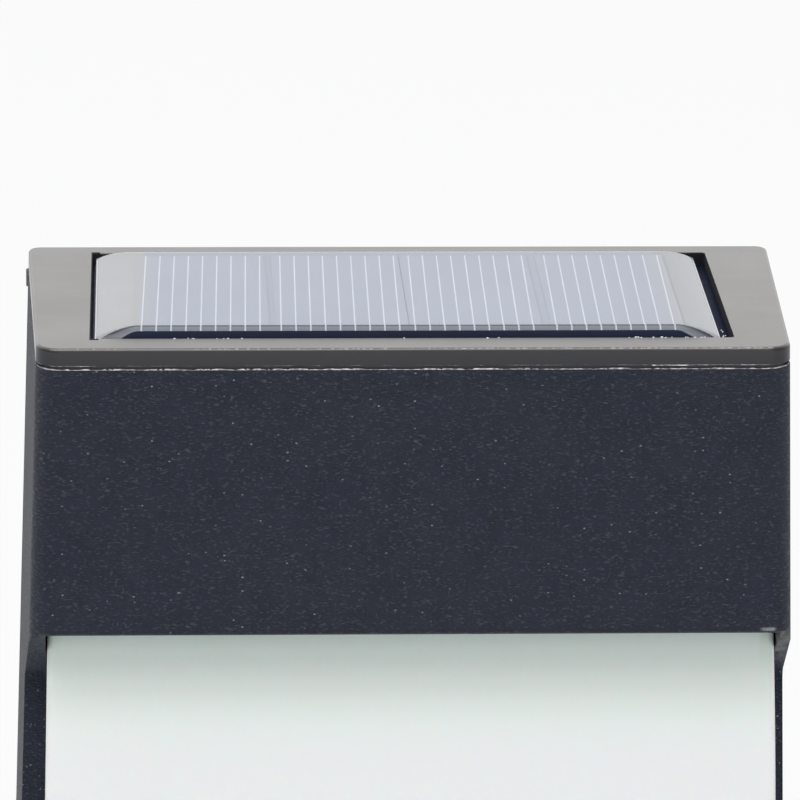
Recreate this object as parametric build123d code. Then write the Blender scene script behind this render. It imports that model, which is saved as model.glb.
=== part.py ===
from build123d import *

import math
import os

# Solar fence light, in millimetres. +Z is up, -Y is the front that shines, +Y is the face that goes
# against the fence. X = 0 is the middle, Z = 0 is the bottom edge the light can stand on, and Y = 0 is
# half way through its depth. "Depth" below is measured backwards from the front face of the head.

# ---- overall form: a head on top, a bow-fronted lens below it, sides that spread down and back ----
height = 112.0  # bottom edge to the flat top of the lid
depth = 50.0  # front of the head to the wall face
front_half_width = 47.5  # half the lid's front edge
side_draft = 0.036  # how far each side spreads for each millimetre backwards
side_flare = 0.030  # how far each side spreads for each millimetre downwards
front_corner_radius = 3.0  # upright corners at the front, in plan
back_corner_radius = 1.6  # upright corners at the wall face, in plan
least_corner_radius = 0.4  # smallest rounding of a rib, a seal or a cavity

head_height = 37.9  # top of the lid down to the front bottom edge of the head
inner_room = 31.5  # from the flat cheeks beside the lens back to the wall face
cove_drop = 11.4  # how far the slanted cove under the head falls on its way back to the cheeks
cove_radius = 3.0  # hollow where the cove turns into the cheek
head_edge_radius = 0.7  # bottom front edge of the head
sill_height = 8.0  # bottom edge up to the ledge that the lens stands on
sill_depth = 7.4  # front of the head back to the front of the sill
sill_slope = 7.5  # how far the cheeks slant up and back from the sill
sill_lean = 0.8  # how far the sill's front draws back towards the bottom
sill_edge_radius = 0.6
sill_toe_radius = 1.4
sill_corner_radius = 2.6  # the sill's upright front corners, in plan
wall = 1.8  # housing wall

# ---- lid with the recess for the solar panel ----
lid_rim = 2.2  # height of the lid's visible edge
lid_edge_radius = 0.45  # rounding of the lid's top edge
lid_skirt = 3.0  # depth of the rib that drops inside the housing
lid_skirt_thickness = 1.4
seam_gap = 0.6  # shadow line between the lid and the housing
seam_inset = 0.6  # how far the seals stand back from the outside
fit_gap = 0.15  # clearance of a rib inside a wall
recess_front = 4.8  # front of the lid back to the recess
recess_back_rim = 3.6  # width of the lid behind the recess
recess_depth = 3.0
recess_corner_radius = 0.5
pan_floor = 1.5  # plastic under the recess
lid_boss_radius = 2.6
lid_boss_length = 3.6
lid_boss_front = 11.0  # front of the lid back to the front pair of bosses
lid_boss_back_rim = 12.5  # from the wall face forward to the back pair
lid_boss_inset = 0.35  # from the recess's side wall inwards to each boss
lid_pilot_depth = 0.3  # how far the bosses' pilot holes run on into the pan
lug_thickness = 2.0  # lugs on the housing under the lid's bosses

# ---- solar panel: foam tape, board, four cells and a cast resin dome ----
panel_width = 79.6
panel_gap_side = 0.95  # room in the recess beside the panel, before its shift
panel_gap_front = 0.8
panel_gap_back = 0.6
panel_shift = -0.65  # the panel is glued in a little left of the middle
panel_corner_radius = 1.0
tape_thickness = 0.6
tape_margin = 3.0
tape_corner_radius = 1.5
tape_hole_radius = 3.0  # round each panel lead
board_thickness = 1.2
cell_thickness = 0.3
cell_count = 4
cell_gaps = (0.8, 0.1, 1.1)  # between the cells, from the left
cell_row_shift = 0.5  # the row of cells sits a little right of the board's middle
cell_margin_side = 5.0
cell_margin_end = 2.4
dome_height = 0.9  # top of the resin above the lid
dome_drop = 1.3  # how far the resin's top falls towards its edges
dome_roll_end = 5.2  # length of that fall at the left and right ends
dome_roll_front = 2.4  # and at the front and back
dome_overcut = 0.2  # how far its arcs run on past the resin's sides

# ---- lens ----
lens_half_width = 46.75  # at the head's bottom edge
lens_shift = 0.3  # the lens and its opening sit a little right of the middle
lens_flare = 0.018  # spread of the lens sides for each millimetre downwards
lens_wall = 1.8
lens_end_depth = 7.6  # front of the head back to the lens at its top and bottom
lens_bow = 5.7  # how far the middle of the lens stands forward of its ends
lens_tuck = 2.6  # how far the lens goes up behind the head's bottom edge
lens_lip = 0.4  # lip that stops the lens falling out, all round
lens_lip_thickness = 1.6
lens_gap = 0.2  # clearance of the lens in the housing
lens_step = 0.6  # ledge inside the lens where its lip starts
lens_seal_clearance = 0.05  # between the seal and the lens walls
lens_edge_radius = 0.8
lens_seal_thickness = 0.5

# ---- chassis: one white moulding, reflector below and carrier for battery and board behind ----
chassis_rim_depth = 1.6  # from the lens lip back to the chassis plate
chassis_thickness = 1.6
chassis_top_gap = 2.9  # from the lid's lugs down to the chassis's top edge
chassis_gap = 0.4  # clearance of the chassis inside the walls
reflector_rim = 1.6  # width of the rim that presses the lens lip home
post_radius = 2.6  # chassis posts on the housing
upper_post_side = 36.0
upper_post_drop = 6.0  # from the chassis's top edge down to the upper posts
lower_post_side = 30.0
lower_post_height = 4.3
post_hole_depth = 8.0  # pilot hole in each post

# ---- lights ----
light_board_width = 66.0
light_board_height = 12.0
light_board_centre = 42.0  # height of the strip's middle
light_board_thickness = 1.2
led_count = 6
led_pitch = 10.0
led_width = 5.0
led_height = 1.6
led_window_radius = 2.1
light_screw_side = 30.0

# ---- control board with the push switch ----
control_width = 40.0
control_height = 28.0
control_centre = 32.0  # height of the board's middle
control_thickness = 1.6
standoff_length = 4.4  # from the chassis plate back to the board
board_corner_radius = 1.0
standoff_radius = 2.4
control_screw_side = 16.5
control_screw_rise = 10.5
switch_width = 8.6
switch_length = 10.0
switch_centre = 30.0  # height of the switch
switch_side = 0.0  # the switch sits on the middle line
switch_edge_chamfer = 0.5
switch_bore_gap = 0.4  # left below the stem when it is pressed home
plunger_radius = 1.6
plunger_clearance = 0.06
button_radius = 3.4
button_clearance = 0.3
button_travel = 2.0
button_length = 5.0
button_recess = 0.8  # button's end below the wall face
button_stem_in_switch = 5.0
button_edge_radius = 0.8

# ---- battery, an AA cell in an open tray ----
battery_radius = 7.1
battery_length = 49.0
battery_nub_radius = 2.7
battery_nub_length = 1.4
battery_drop = 14.5  # from the chassis's top edge down to the cell's axis
cell_rim_radius = 0.6
nub_rim_radius = 0.4
battery_clearance = 0.3
holder_wall = 1.5
holder_end_room = 3.2  # room for a contact or the spring at each end
holder_end_clearance = 0.6  # between the cell's ends and the tray's bore
holder_contact_gap = 0.3  # between a contact's edge and its pocket
holder_ear_gap = 0.6  # between a screw head and the tray's end wall
holder_ear_margin = 1.0  # ear beyond the screw head
holder_lead_slot = 3.0  # how far a lead's hole runs up inside the tray's wall
lead_hole_clearance = 0.3
contact_thickness = 0.4
contact_width = 9.0
contact_corner_radius = 1.0
spring_wire_radius = 0.35
spring_turns = 3
spring_large_radius = 4.0
spring_small_radius = 2.4

# ---- back cover, seal, screws and keyholes ----
cover_thickness = 2.2
cover_rib = 2.0  # rib that enters the housing
cover_rib_thickness = 1.4
back_seal_thickness = 0.5
cover_ear_proud = 0.3  # small rounded ears at the cover's upper corners
cover_ear_height = 2.2
cover_ear_radius = 0.95
corner_boss_radius = 3.1
corner_boss_length = 12.0
corner_boss_inset = 5.0  # from the outer side face to the boss's middle
corner_boss_low = 9.0
corner_boss_drop = 12.2  # from the housing's top edge down to the upper pair
corner_boss_floor = 1.0  # plastic left in front of the pilot hole
cover_screw_head_radius = 2.5
cover_screw_head_height = 1.3
cover_screw_sink = 0.1  # head below the wall face
cover_screw_end_gap = 1.0  # from the screw's tip to the end of its pilot hole
screw_hole_clearance = 0.25
keyhole_side = 30.0
keyhole_height = 56.0  # middle of the round entry
keyhole_entry_radius = 4.2
keyhole_slot_radius = 2.2
keyhole_slot_length = 7.0
keyhole_pocket_depth = 3.4
keyhole_pocket_wall = 1.2
keyhole_pocket_gap = 0.4  # pocket wider than the entry, all round
button_collar_radius = 6.0
button_collar_length = 3.0
seal_ring_wall = 1.2
seal_ring_flange = 0.8  # the ring's flange inside: its width and its thickness
seal_ring_recess = 1.0  # ring's outer end below the wall face

# ---- screws ----
screw_shank_radius = 1.1
screw_pilot_clearance = 0.05  # the threads bite here; they aren't modelled
screw_head_radius = 2.1
screw_head_height = 1.2
screw_drive_radius = 0.9
screw_drive_depth = 0.7
screw_blade_share = 0.55  # width of the cross's arms, of the drive's radius
screw_crown_share = 0.45  # rounding of a head, of its height
screw_tip_share = 0.5  # chamfer of a tip, of the shank's radius
screw_end_gap = 0.5  # a screw's tip stays this short of the far end of its boss

# ---- leads ----
lead_radius = 0.6
lead_exit_side = 33.5  # from the middle to where a panel lead passes through the pan
lead_exit_room = 5.4  # from the chassis plate back to where a panel lead passes
lead_hole_radius = 1.4
lead_pad_inset = 3.0  # from the control board's edge to where a lead is soldered
light_lead_side = 3.0
light_lead_hole_radius = 1.2

# ---- small parts ----
light_boss_length = 2.0  # screw bosses behind the strip board and under the tray's ears
led_cup_depth = 0.9
chassis_screw_bite = 5.0
chip_side = -11.0
chip_height_centre = 27.0
chip_width = 4.0
chip_length = 5.0
choke_side = 12.0
choke_height_centre = 36.0
choke_radius = 3.0
choke_length = 5.0
choke_flange = 0.9  # thickness of each end of the choke's core
choke_groove = 0.5  # how far its waist is drawn in
chip_stand = 0.2  # chip's body above the board
chip_height = 1.5
chip_edge_chamfer = 0.25
chip_leg_count = 4  # on each side
chip_leg_reach = 1.0
chip_leg_height = 0.5
chip_leg_width = 0.4
led_corner_chamfer = 0.6  # marks one corner of each light
holder_snap_height = 4.0  # tray's sides rise this far past the cell's axis
cover_edge_chamfer = 0.5
panel_lead_bend = 4.0
panel_lead_drop = 14.0  # straight down out of the lid
panel_lead_step = (1.4, 2.0)  # then outwards and back, past the end of the tray
panel_lead_pass = 4.0  # below the cell's axis, where it has passed the tray
panel_lead_slack = (9.0, 5.5, 13.0)  # beside, behind and above the board's corner
panel_lead_depth = 8.0  # behind the board, before it turns to its pad
panel_pad_rise = 2.0  # pads above the board's middle
battery_lead_bend = 4.0
battery_lead_drop = 5.0  # straight down out of the tray
battery_lead_slack = (18.0, 3.0, 15.0)  # from the middle, behind the cell's axis and below the tray
battery_lead_depth = 7.0  # behind the board, before it turns to its pad
overcut = 1.0  # how far a cutting form runs past what it cuts

# ---- places that follow from the sizes above ----
front_y = -depth / 2
cheek_depth = depth - inner_room
pilot_radius = screw_shank_radius + screw_pilot_clearance
hole_radius = screw_shank_radius + screw_hole_clearance
lid_bottom = height - lid_rim
shell_top = lid_bottom - seam_gap
head_bottom = height - head_height
cover_front = depth - cover_thickness
shell_back = cover_front - back_seal_thickness
skirt_low = lid_bottom - lid_skirt
lens_bottom = sill_height
lens_top = head_bottom + lens_tuck
cheek_back = cheek_depth + wall
lens_lip_front = cheek_back + lens_seal_thickness
lens_lip_back = lens_lip_front + lens_lip_thickness
recess_floor = height - recess_depth
recess_back = depth - recess_back_rim
recess_half_width = panel_width / 2 + panel_gap_side
panel_front = recess_front + panel_gap_front
panel_length = recess_back - panel_gap_back - panel_front  # 40 mm on a light 50 mm deep
pan_bottom = recess_floor - pan_floor
lid_boss_side = recess_half_width - lid_boss_inset
lug_high = pan_bottom - lid_boss_length
chassis_top = lug_high - lug_thickness - chassis_top_gap
chassis_depth = lens_lip_back + chassis_rim_depth
chassis_back = chassis_depth + chassis_thickness
upper_post_height = chassis_top - upper_post_drop
battery_height = chassis_top - battery_drop
corner_boss_high = shell_top - corner_boss_drop
cover_screw_seat = depth - cover_screw_head_height - cover_screw_sink
lead_exit_depth = chassis_back + lead_exit_room
control_depth = chassis_back + standoff_length
button_end = depth - button_recess
button_start = button_end - button_length
control_back = control_depth + control_thickness
switch_back = control_back + switch_length


def at_depth(distance):
    """Y of a point that lies this far behind the head's front face."""
    return front_y + distance


def half_width(distance, level):
    """Half the outside width at a depth behind the front face and a height above the bottom."""
    return front_half_width + side_draft * distance + side_flare * (height - level)


def lens_half(level):
    """Half the outside width of the lens at a height."""
    return lens_half_width + lens_flare * (head_bottom - level)


def upright_edges(solid):
    """Edges that run mostly up and down."""
    return solid.edges().filter_by(lambda edge: abs((edge % 0.5).Z) > 0.9)


def tapered_block(low, high, near, far, inset=0.0):
    """The outside form between two heights and two depths, its sides drawn in by an inset."""
    reach = half_width(far, low)
    solid = block(-reach, reach, near, far, low, high)
    for side in (-1, 1):
        on_side = (side * (half_width(near, low) - inset), at_depth(near), low)
        outwards = (side, -side_draft, side_flare)
        solid = split(solid, bisect_by=Plane(on_side, z_dir=outwards), keep=Keep.BOTTOM)
    return solid


def round_corners(solid, near_radius, far_radius):
    """Round a solid's upright corners, front and back apart."""
    edges = upright_edges(solid).sort_by(Axis.Y)
    if near_radius > 0:
        solid = fillet(edges[:2], near_radius)
    if far_radius > 0:
        edges = upright_edges(solid).sort_by(Axis.Y)
        solid = fillet(edges[-2:], far_radius)
    return solid


def outer_block(low, high, near=0.0, far=depth, inset=0.0):
    """The rounded outside form, or the same form drawn in for a rib, a seal or a cavity."""
    solid = tapered_block(low, high, near, far, inset)
    near_radius = max(front_corner_radius - inset, least_corner_radius)
    far_radius = max(back_corner_radius - inset, least_corner_radius)
    return round_corners(solid, near_radius, far_radius)


def side_profile(corners):
    """A solid as wide as the light, from corners given as (depth, height, rounding)."""
    outline = [(at_depth(distance), level) for distance, level, rounding in corners]
    face = make_face(Polyline(*outline, close=True))
    for (y, level), (distance, height_now, rounding) in zip(outline, corners):
        if rounding > 0:
            nearest = face.vertices().sort_by_distance((y, level, 0))[0]
            face = fillet(nearest, rounding)
    return extrude(Plane.YZ * face, amount=front_half_width * 2, both=True)


def rounded_plate(width, length, corner_radius, low, high, centre_x, centre_y):
    """A flat plate with rounded corners in plan."""
    plan = Pos(centre_x, centre_y, low) * RectangleRounded(width, length, corner_radius)
    return extrude(plan, amount=high - low)


def rod_back(x, level, start, end, radius):
    """A round rod that runs straight backwards between two depths."""
    length = end - start
    return Pos(x, at_depth(start + length / 2), level) * Rot(90, 0, 0) * Cylinder(radius, length)


def rod_up(x, distance, low, high, radius):
    """An upright round rod."""
    return Pos(x, at_depth(distance), (low + high) / 2) * Cylinder(radius, high - low)


def block(x_low, x_high, near, far, low, high):
    """A plain box between two x, two depths and two heights."""
    size = (x_high - x_low, far - near, high - low)
    centre = ((x_low + x_high) / 2, at_depth((near + far) / 2), (low + high) / 2)
    return Pos(*centre) * Box(*size)


def screw(head_radius, head_height, shank_length):
    """A pan-head screw along +Z: its head starts at Z = 0 and the shank goes up from the head."""
    head = Pos(0, 0, -head_height / 2) * Cylinder(head_radius, head_height)
    crown = head.edges().filter_by(GeomType.CIRCLE).sort_by(Axis.Z)[0]
    head = fillet(crown, head_height * screw_crown_share)
    shank = Pos(0, 0, shank_length / 2) * Cylinder(screw_shank_radius, shank_length)
    tip = shank.edges().filter_by(GeomType.CIRCLE).sort_by(Axis.Z)[-1]
    shank = chamfer(tip, screw_shank_radius * screw_tip_share)
    blade = screw_drive_radius * screw_blade_share
    cross = Box(2 * screw_drive_radius, blade, 2 * screw_drive_depth)
    cross += Box(blade, 2 * screw_drive_radius, 2 * screw_drive_depth)
    return head + shank - Pos(0, 0, -head_height) * cross


def lid_boss_places():
    """Where the four lid bosses stand: x and depth."""
    depths = (lid_boss_front, depth - lid_boss_back_rim)
    return [(side * lid_boss_side, distance) for side in (-1, 1) for distance in depths]


def corner_boss_places():
    """Where the four back screws go: x and height."""
    places = []
    for level in (corner_boss_low, corner_boss_high):
        reach = half_width(shell_back, level) - corner_boss_inset
        places += [(-reach, level), (reach, level)]
    return places


def chassis_post_places():
    """Where the four chassis screws go: x and height."""
    low = [(side * lower_post_side, lower_post_height) for side in (-1, 1)]
    high = [(side * upper_post_side, upper_post_height) for side in (-1, 1)]
    return low + high


def control_screw_places():
    """Two screws at opposite corners of the control board."""
    return [
        (-control_screw_side, control_centre + control_screw_rise),
        (control_screw_side, control_centre - control_screw_rise),
    ]


# ---- lid ----


def make_lid():
    """The bezel round the solar panel, with a pan under it, a locating rib and four screw bosses."""
    lid = outer_block(lid_bottom, height)
    top_edges = lid.faces().sort_by(Axis.Z)[-1].edges()
    lid = fillet(top_edges, lid_edge_radius)
    skirt_inset = wall + fit_gap
    skirt = tapered_block(skirt_low, lid_bottom, skirt_inset, shell_back, skirt_inset)
    inner = skirt_inset + lid_skirt_thickness
    inner_back = shell_back - lid_skirt_thickness
    skirt -= tapered_block(skirt_low - overcut, lid_bottom, inner, inner_back, inner)
    pan_half = recess_half_width + pan_floor
    pan_front = recess_front - pan_floor
    pan = block(-pan_half, pan_half, pan_front, recess_back + pan_floor / 2, pan_bottom, lid_bottom)
    lid = lid + skirt + pan
    width = 2 * recess_half_width
    length = recess_back - recess_front
    middle = at_depth(recess_front + length / 2)
    lid -= rounded_plate(
        width, length, recess_corner_radius, recess_floor, height + overcut, 0, middle
    )
    for x, distance in lid_boss_places():
        lid += rod_up(x, distance, lug_high, pan_bottom, lid_boss_radius)
    for x, distance in lid_boss_places():
        lid -= rod_up(x, distance, lug_high, pan_bottom + lid_pilot_depth, pilot_radius)
    for side in (-1, 1):
        x = side * lead_exit_side
        lid -= rod_up(x, lead_exit_depth, pan_bottom - overcut, recess_floor + overcut, lead_hole_radius)
    return lid


def make_lid_seal():
    """Flat rubber ring in the seam between the lid and the housing."""
    ring = outer_block(shell_top, lid_bottom, seam_inset, depth - seam_inset, seam_inset)
    hole = tapered_block(shell_top, lid_bottom, wall, depth - cover_thickness, wall)
    return ring - hole


def make_lid_screws():
    """Four screws driven up through the housing's lugs into the lid."""
    low = lug_high - lug_thickness
    one = screw(screw_head_radius, screw_head_height, lid_boss_length + lug_thickness - screw_end_gap)
    return [Pos(x, at_depth(distance), low) * one for x, distance in lid_boss_places()]


# ---- solar panel ----


def panel_middle_y():
    """Y of the panel's middle."""
    return at_depth(panel_front + panel_length / 2)


def make_panel_tape():
    """Foam tape that holds the panel's board down in the recess."""
    width = panel_width - 2 * tape_margin
    length = panel_length - 2 * tape_margin
    top = recess_floor + tape_thickness
    pad = rounded_plate(
        width, length, tape_corner_radius, recess_floor, top, panel_shift, panel_middle_y()
    )
    for side in (-1, 1):
        x = side * lead_exit_side
        pad -= rod_up(x, lead_exit_depth, recess_floor - overcut, top + overcut, tape_hole_radius)
    return pad


def make_panel_board():
    """Printed board under the cells."""
    low = recess_floor + tape_thickness
    return rounded_plate(
        panel_width,
        panel_length,
        panel_corner_radius,
        low,
        low + board_thickness,
        panel_shift,
        panel_middle_y(),
    )


def make_solar_cells():
    """Four silicon cells side by side."""
    low = recess_floor + tape_thickness + board_thickness
    span = panel_width - 2 * cell_margin_side
    cell_width = (span - sum(cell_gaps)) / cell_count
    cell_length = panel_length - 2 * cell_margin_end
    left = panel_shift + cell_row_shift - span / 2
    cells = []
    for number in range(cell_count):
        x = left + cell_width * (number + 0.5) + sum(cell_gaps[:number])
        cell = Pos(x, panel_middle_y(), low + cell_thickness / 2)
        cells.append(cell * Box(cell_width, cell_length, cell_thickness))
    return cells


def dome_section(half, roll, low):
    """Upright section of the resin's top: flat, then falling in an arc past both ends."""
    top = height + dome_height
    radius = (roll**2 + dome_drop**2) / (2 * dome_drop)
    reach = roll + dome_overcut
    edge = top - radius + math.sqrt(radius**2 - reach**2)
    start = half - roll
    end = start + reach
    right = TangentArc((start, top), (end, edge), tangent=(1, 0))
    left = TangentArc((-start, top), (-end, edge), tangent=(-1, 0))
    sides = Polyline((end, edge), (end, low - overcut), (-end, low - overcut), (-end, edge))
    return make_face(left + Line((-start, top), (start, top)) + right + sides)


def make_panel_resin():
    """Clear cast resin over the board, its top falling gently towards the edges."""
    low = recess_floor + tape_thickness + board_thickness
    plate = rounded_plate(
        panel_width,
        panel_length,
        panel_corner_radius,
        low,
        height + dome_height + overcut,
        panel_shift,
        panel_middle_y(),
    )
    across = Plane.XZ * dome_section(panel_width / 2, dome_roll_end, low)
    along = Plane.YZ * dome_section(panel_length / 2, dome_roll_front, low)
    dome = extrude(across, amount=panel_length, both=True) & extrude(along, amount=panel_width, both=True)
    resin = plate & Pos(panel_shift, panel_middle_y(), 0) * dome
    for cell in make_solar_cells():
        resin -= cell
    return resin


# ---- housing ----


def housing_outline():
    """Side view of the housing: head, cove, cheek and sill, as (depth, height, rounding)."""
    return [
        (0, shell_top, 0),
        (0, head_bottom, head_edge_radius),
        (cheek_depth, head_bottom - cove_drop, cove_radius),
        (cheek_depth, sill_height + sill_slope, cove_radius),
        (sill_depth, sill_height, sill_edge_radius),
        (sill_depth + sill_lean, 0, sill_toe_radius),
        (shell_back, 0, 0),
        (shell_back, shell_top, 0),
    ]


def cavity_outline():
    """Side view of the space inside the housing."""
    sill_inside = sill_depth + sill_lean + wall
    return [
        (wall, height, 0),
        (wall, head_bottom + wall, head_edge_radius),
        (cheek_back, head_bottom - cove_drop + wall, cove_radius),
        (cheek_back, sill_height - wall, 0),
        (sill_inside, sill_height - wall, 0),
        (sill_inside, wall, 0),
        (depth, wall, 0),
        (depth, height, 0),
    ]


def lens_outline(grow=0.0):
    """Side view of the lens: bowed front, flat ends, open back."""
    middle = (lens_bottom + head_bottom) / 2
    half_chord = (head_bottom - lens_bottom) / 2
    radius = (half_chord**2 + lens_bow**2) / (2 * lens_bow)
    centre = lens_end_depth - lens_bow + radius
    shell_radius = radius + grow

    def depth_at(level):
        return centre - math.sqrt(shell_radius**2 - (level - middle) ** 2)

    low = lens_bottom - grow
    high = lens_top + grow
    front = ThreePointArc(
        (at_depth(depth_at(high)), high),
        (at_depth(depth_at(middle)), middle),
        (at_depth(depth_at(low)), low),
    )
    back = Polyline(
        (at_depth(depth_at(low)), low),
        (at_depth(lens_lip_back), low),
        (at_depth(lens_lip_back), high),
        (at_depth(depth_at(high)), high),
    )
    return Plane.YZ * make_face(front + back)


def lens_frame(low, high, grow, near, far):
    """A block with the lens's side taper between two heights and two depths."""
    corners = [
        (lens_shift - lens_half(low) - grow, low),
        (lens_shift + lens_half(low) + grow, low),
        (lens_shift + lens_half(high) + grow, high),
        (lens_shift - lens_half(high) - grow, high),
    ]
    face = Plane.XZ.offset(-at_depth(near)) * make_face(Polyline(*corners, close=True))
    return extrude(face, amount=near - far)


def lens_body(grow=0.0):
    """The solid form of the lens, grown or shrunk all round."""
    low = lens_bottom - grow - overcut
    high = lens_top + grow + overcut
    sides = lens_frame(low, high, grow, -overcut, lens_lip_back + overcut)
    bow = extrude(lens_outline(grow), amount=front_half_width * 2, both=True)
    return sides & bow


def lens_window():
    """The opening that the lens fills: through the cheeks' plate and up into the head."""
    below = lens_frame(lens_bottom - lens_gap, head_bottom, lens_gap, -overcut, cheek_back + overcut)
    return below + lens_body(lens_gap)


def make_housing():
    """The main moulding: head, coved cheeks, sill and side walls, open at the top and the back."""
    outside = outer_block(0, shell_top) & side_profile(housing_outline())
    sill = tapered_block(-overcut, sill_height + sill_slope, sill_depth, shell_back)
    outside -= sill - round_corners(sill, sill_corner_radius, 0)
    hollow = tapered_block(-overcut, height, 0, depth + overcut, wall) & side_profile(cavity_outline())
    housing = outside - hollow - lens_window()
    for x, level in chassis_post_places():
        start = sill_depth + sill_lean + wall / 2 if level < lens_bottom else wall / 2
        housing += rod_back(x, level, start, chassis_depth, post_radius)
    outer_limit = outer_block(0, shell_top)
    for x, level in corner_boss_places():
        boss = rod_back(x, level, shell_back - corner_boss_length, shell_back, corner_boss_radius)
        housing += boss & outer_limit
    for x, distance in lid_boss_places():
        side = math.copysign(1, x)
        reach = half_width(distance, lug_high) - wall / 2
        inner = lid_boss_side - lid_boss_radius
        lug = block(
            min(side * inner, side * reach),
            max(side * inner, side * reach),
            distance - lid_boss_radius,
            distance + lid_boss_radius,
            lug_high - lug_thickness,
            lug_high,
        )
        housing += lug
    for x, distance in lid_boss_places():
        housing -= rod_up(x, distance, lug_high - lug_thickness - overcut, lug_high + overcut, hole_radius)
    for x, level in chassis_post_places():
        start = chassis_depth - post_hole_depth
        housing -= rod_back(x, level, start, chassis_depth + overcut, pilot_radius)
    for x, level in corner_boss_places():
        start = shell_back - corner_boss_length + corner_boss_floor
        housing -= rod_back(x, level, start, shell_back + overcut, pilot_radius)
    return housing


def make_lens():
    """The frosted lens: a bowed front with four side walls and a lip round its open back."""
    outside = lens_body()
    bow_edges = outside.edges().filter_by(GeomType.LINE, reverse=True).sort_by(Axis.Y)[:2]
    outside = fillet(bow_edges, lens_edge_radius)
    lip = lens_frame(lens_bottom - lens_lip, lens_top + lens_lip, lens_lip, lens_lip_front, lens_lip_back)
    return outside + lip - lens_hollow()


def lens_hollow():
    """The space inside the lens, open at the back."""
    inner = lens_body(-lens_wall)
    half = lens_half(lens_bottom) - lens_wall - lens_step
    low = lens_bottom + lens_wall
    high = lens_top - lens_wall
    left = lens_shift - half
    return inner + block(left, left + 2 * half, lens_lip_front - overcut, lens_lip_back + overcut, low, high)


def make_lens_seal():
    """Thin rubber frame between the lens lip and the housing."""
    outer = lens_frame(lens_bottom - lens_lip, lens_top + lens_lip, lens_lip, cheek_back, lens_lip_front)
    room = lens_seal_clearance
    low = lens_bottom - room
    high = lens_top + room
    return outer - lens_frame(low, high, room, cheek_back - overcut, lens_lip_front + overcut)


# ---- chassis and what it carries ----


def make_chassis():
    """White moulding across the housing: reflector in front, carrier for board and battery behind."""
    inset = wall + chassis_gap
    plate = tapered_block(wall + chassis_gap, chassis_top, chassis_depth, chassis_back, inset)
    low = lens_bottom - lens_lip
    high = lens_top + lens_lip
    rim = lens_frame(low, high, lens_lip, lens_lip_back, chassis_depth)
    drawn_in = lens_lip - reflector_rim
    inner_low = lens_bottom - drawn_in
    inner_high = lens_top + drawn_in
    rim -= lens_frame(inner_low, inner_high, drawn_in, lens_lip_back - overcut, chassis_depth + overcut)
    chassis = plate + rim
    near = chassis_depth - overcut
    far = chassis_back + overcut
    boss_front = chassis_depth - light_boss_length
    boss_back = chassis_back + light_boss_length
    for x, level in control_screw_places():
        chassis += rod_back(x, level, chassis_back, control_depth, standoff_radius)
        chassis -= rod_back(x, level, chassis_back, control_depth + overcut, pilot_radius)
    for side in (-1, 1):
        x = side * light_screw_side
        chassis += rod_back(x, light_board_centre, chassis_back, boss_back, standoff_radius)
        chassis -= rod_back(x, light_board_centre, near, boss_back + overcut, pilot_radius)
        x = side * holder_ear_side()
        chassis += rod_back(x, battery_height, boss_front, chassis_depth, standoff_radius)
        chassis -= rod_back(x, battery_height, boss_front - overcut, far, pilot_radius)
        x = side * light_lead_side
        chassis -= rod_back(x, light_board_centre, near, far, light_lead_hole_radius)
    for x, level in chassis_post_places():
        chassis -= rod_back(x, level, near, far, hole_radius)
    return chassis


def back_screw_at(x, level, seat, length, head_radius=screw_head_radius, head_height=screw_head_height):
    """A screw driven forwards from behind: its head bears on a seat at this depth."""
    return Pos(x, at_depth(seat), level) * Rot(90, 0, 0) * screw(head_radius, head_height, length)


def make_chassis_screws():
    """Four screws that hold the chassis on the housing's posts."""
    length = chassis_thickness + chassis_screw_bite
    return [back_screw_at(x, level, chassis_back, length) for x, level in chassis_post_places()]


def light_board_front():
    """Depth of the face that the lights stand on."""
    return chassis_depth - light_board_thickness


def make_light_board():
    """Strip board in front of the chassis."""
    half = light_board_width / 2
    low = light_board_centre - light_board_height / 2
    high = light_board_centre + light_board_height / 2
    board = block(-half, half, light_board_front(), chassis_depth, low, high)
    board = fillet(board.edges().filter_by(Axis.Y), board_corner_radius)
    near = light_board_front() - overcut
    for side in (-1, 1):
        x = side * light_screw_side
        board -= rod_back(x, light_board_centre, near, chassis_depth + overcut, hole_radius)
    return board


def make_leds():
    """A row of surface-mounted lights, each a small cup filled with resin."""
    lamps = []
    start = -(led_count - 1) * led_pitch / 2
    front = light_board_front() - led_height
    for number in range(led_count):
        x = start + number * led_pitch
        half = led_width / 2
        low = light_board_centre - half
        lamp = block(x - half, x + half, front, light_board_front(), low, low + led_width)
        lamp = chamfer(lamp.edges().filter_by(Axis.Y).sort_by(Axis.X)[0], led_corner_chamfer)
        cup_end = front + led_cup_depth
        lamp -= rod_back(x, light_board_centre, front - overcut, cup_end, led_window_radius)
        lamps.append(lamp)
    return lamps


def make_light_screws():
    """Two screws, driven backwards, that hold the strip board."""
    length = light_board_thickness + chassis_thickness + light_boss_length - screw_end_gap
    one = Rot(-90, 0, 0) * screw(screw_head_radius, screw_head_height, length)
    seat = at_depth(light_board_front())
    return [Pos(side * light_screw_side, seat, light_board_centre) * one for side in (-1, 1)]


def make_light_leads():
    """Two short wires from the strip board through the chassis to the control board."""
    places = [side * light_lead_side for side in (-1, 1)]
    return [rod_back(x, light_board_centre, chassis_depth, control_depth, lead_radius) for x in places]


def make_control_board():
    """Board behind the chassis that charges the cell and drives the lights."""
    half = control_width / 2
    low = control_centre - control_height / 2
    board = block(-half, half, control_depth, control_back, low, low + control_height)
    board = fillet(board.edges().filter_by(Axis.Y), board_corner_radius)
    for x, level in control_screw_places():
        board -= rod_back(x, level, control_depth - overcut, control_back + overcut, hole_radius)
    return board


def make_control_screws():
    """Two screws that hold the control board on its standoffs."""
    length = control_thickness + standoff_length - screw_end_gap
    return [back_screw_at(x, level, control_back, length) for x, level in control_screw_places()]


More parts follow.
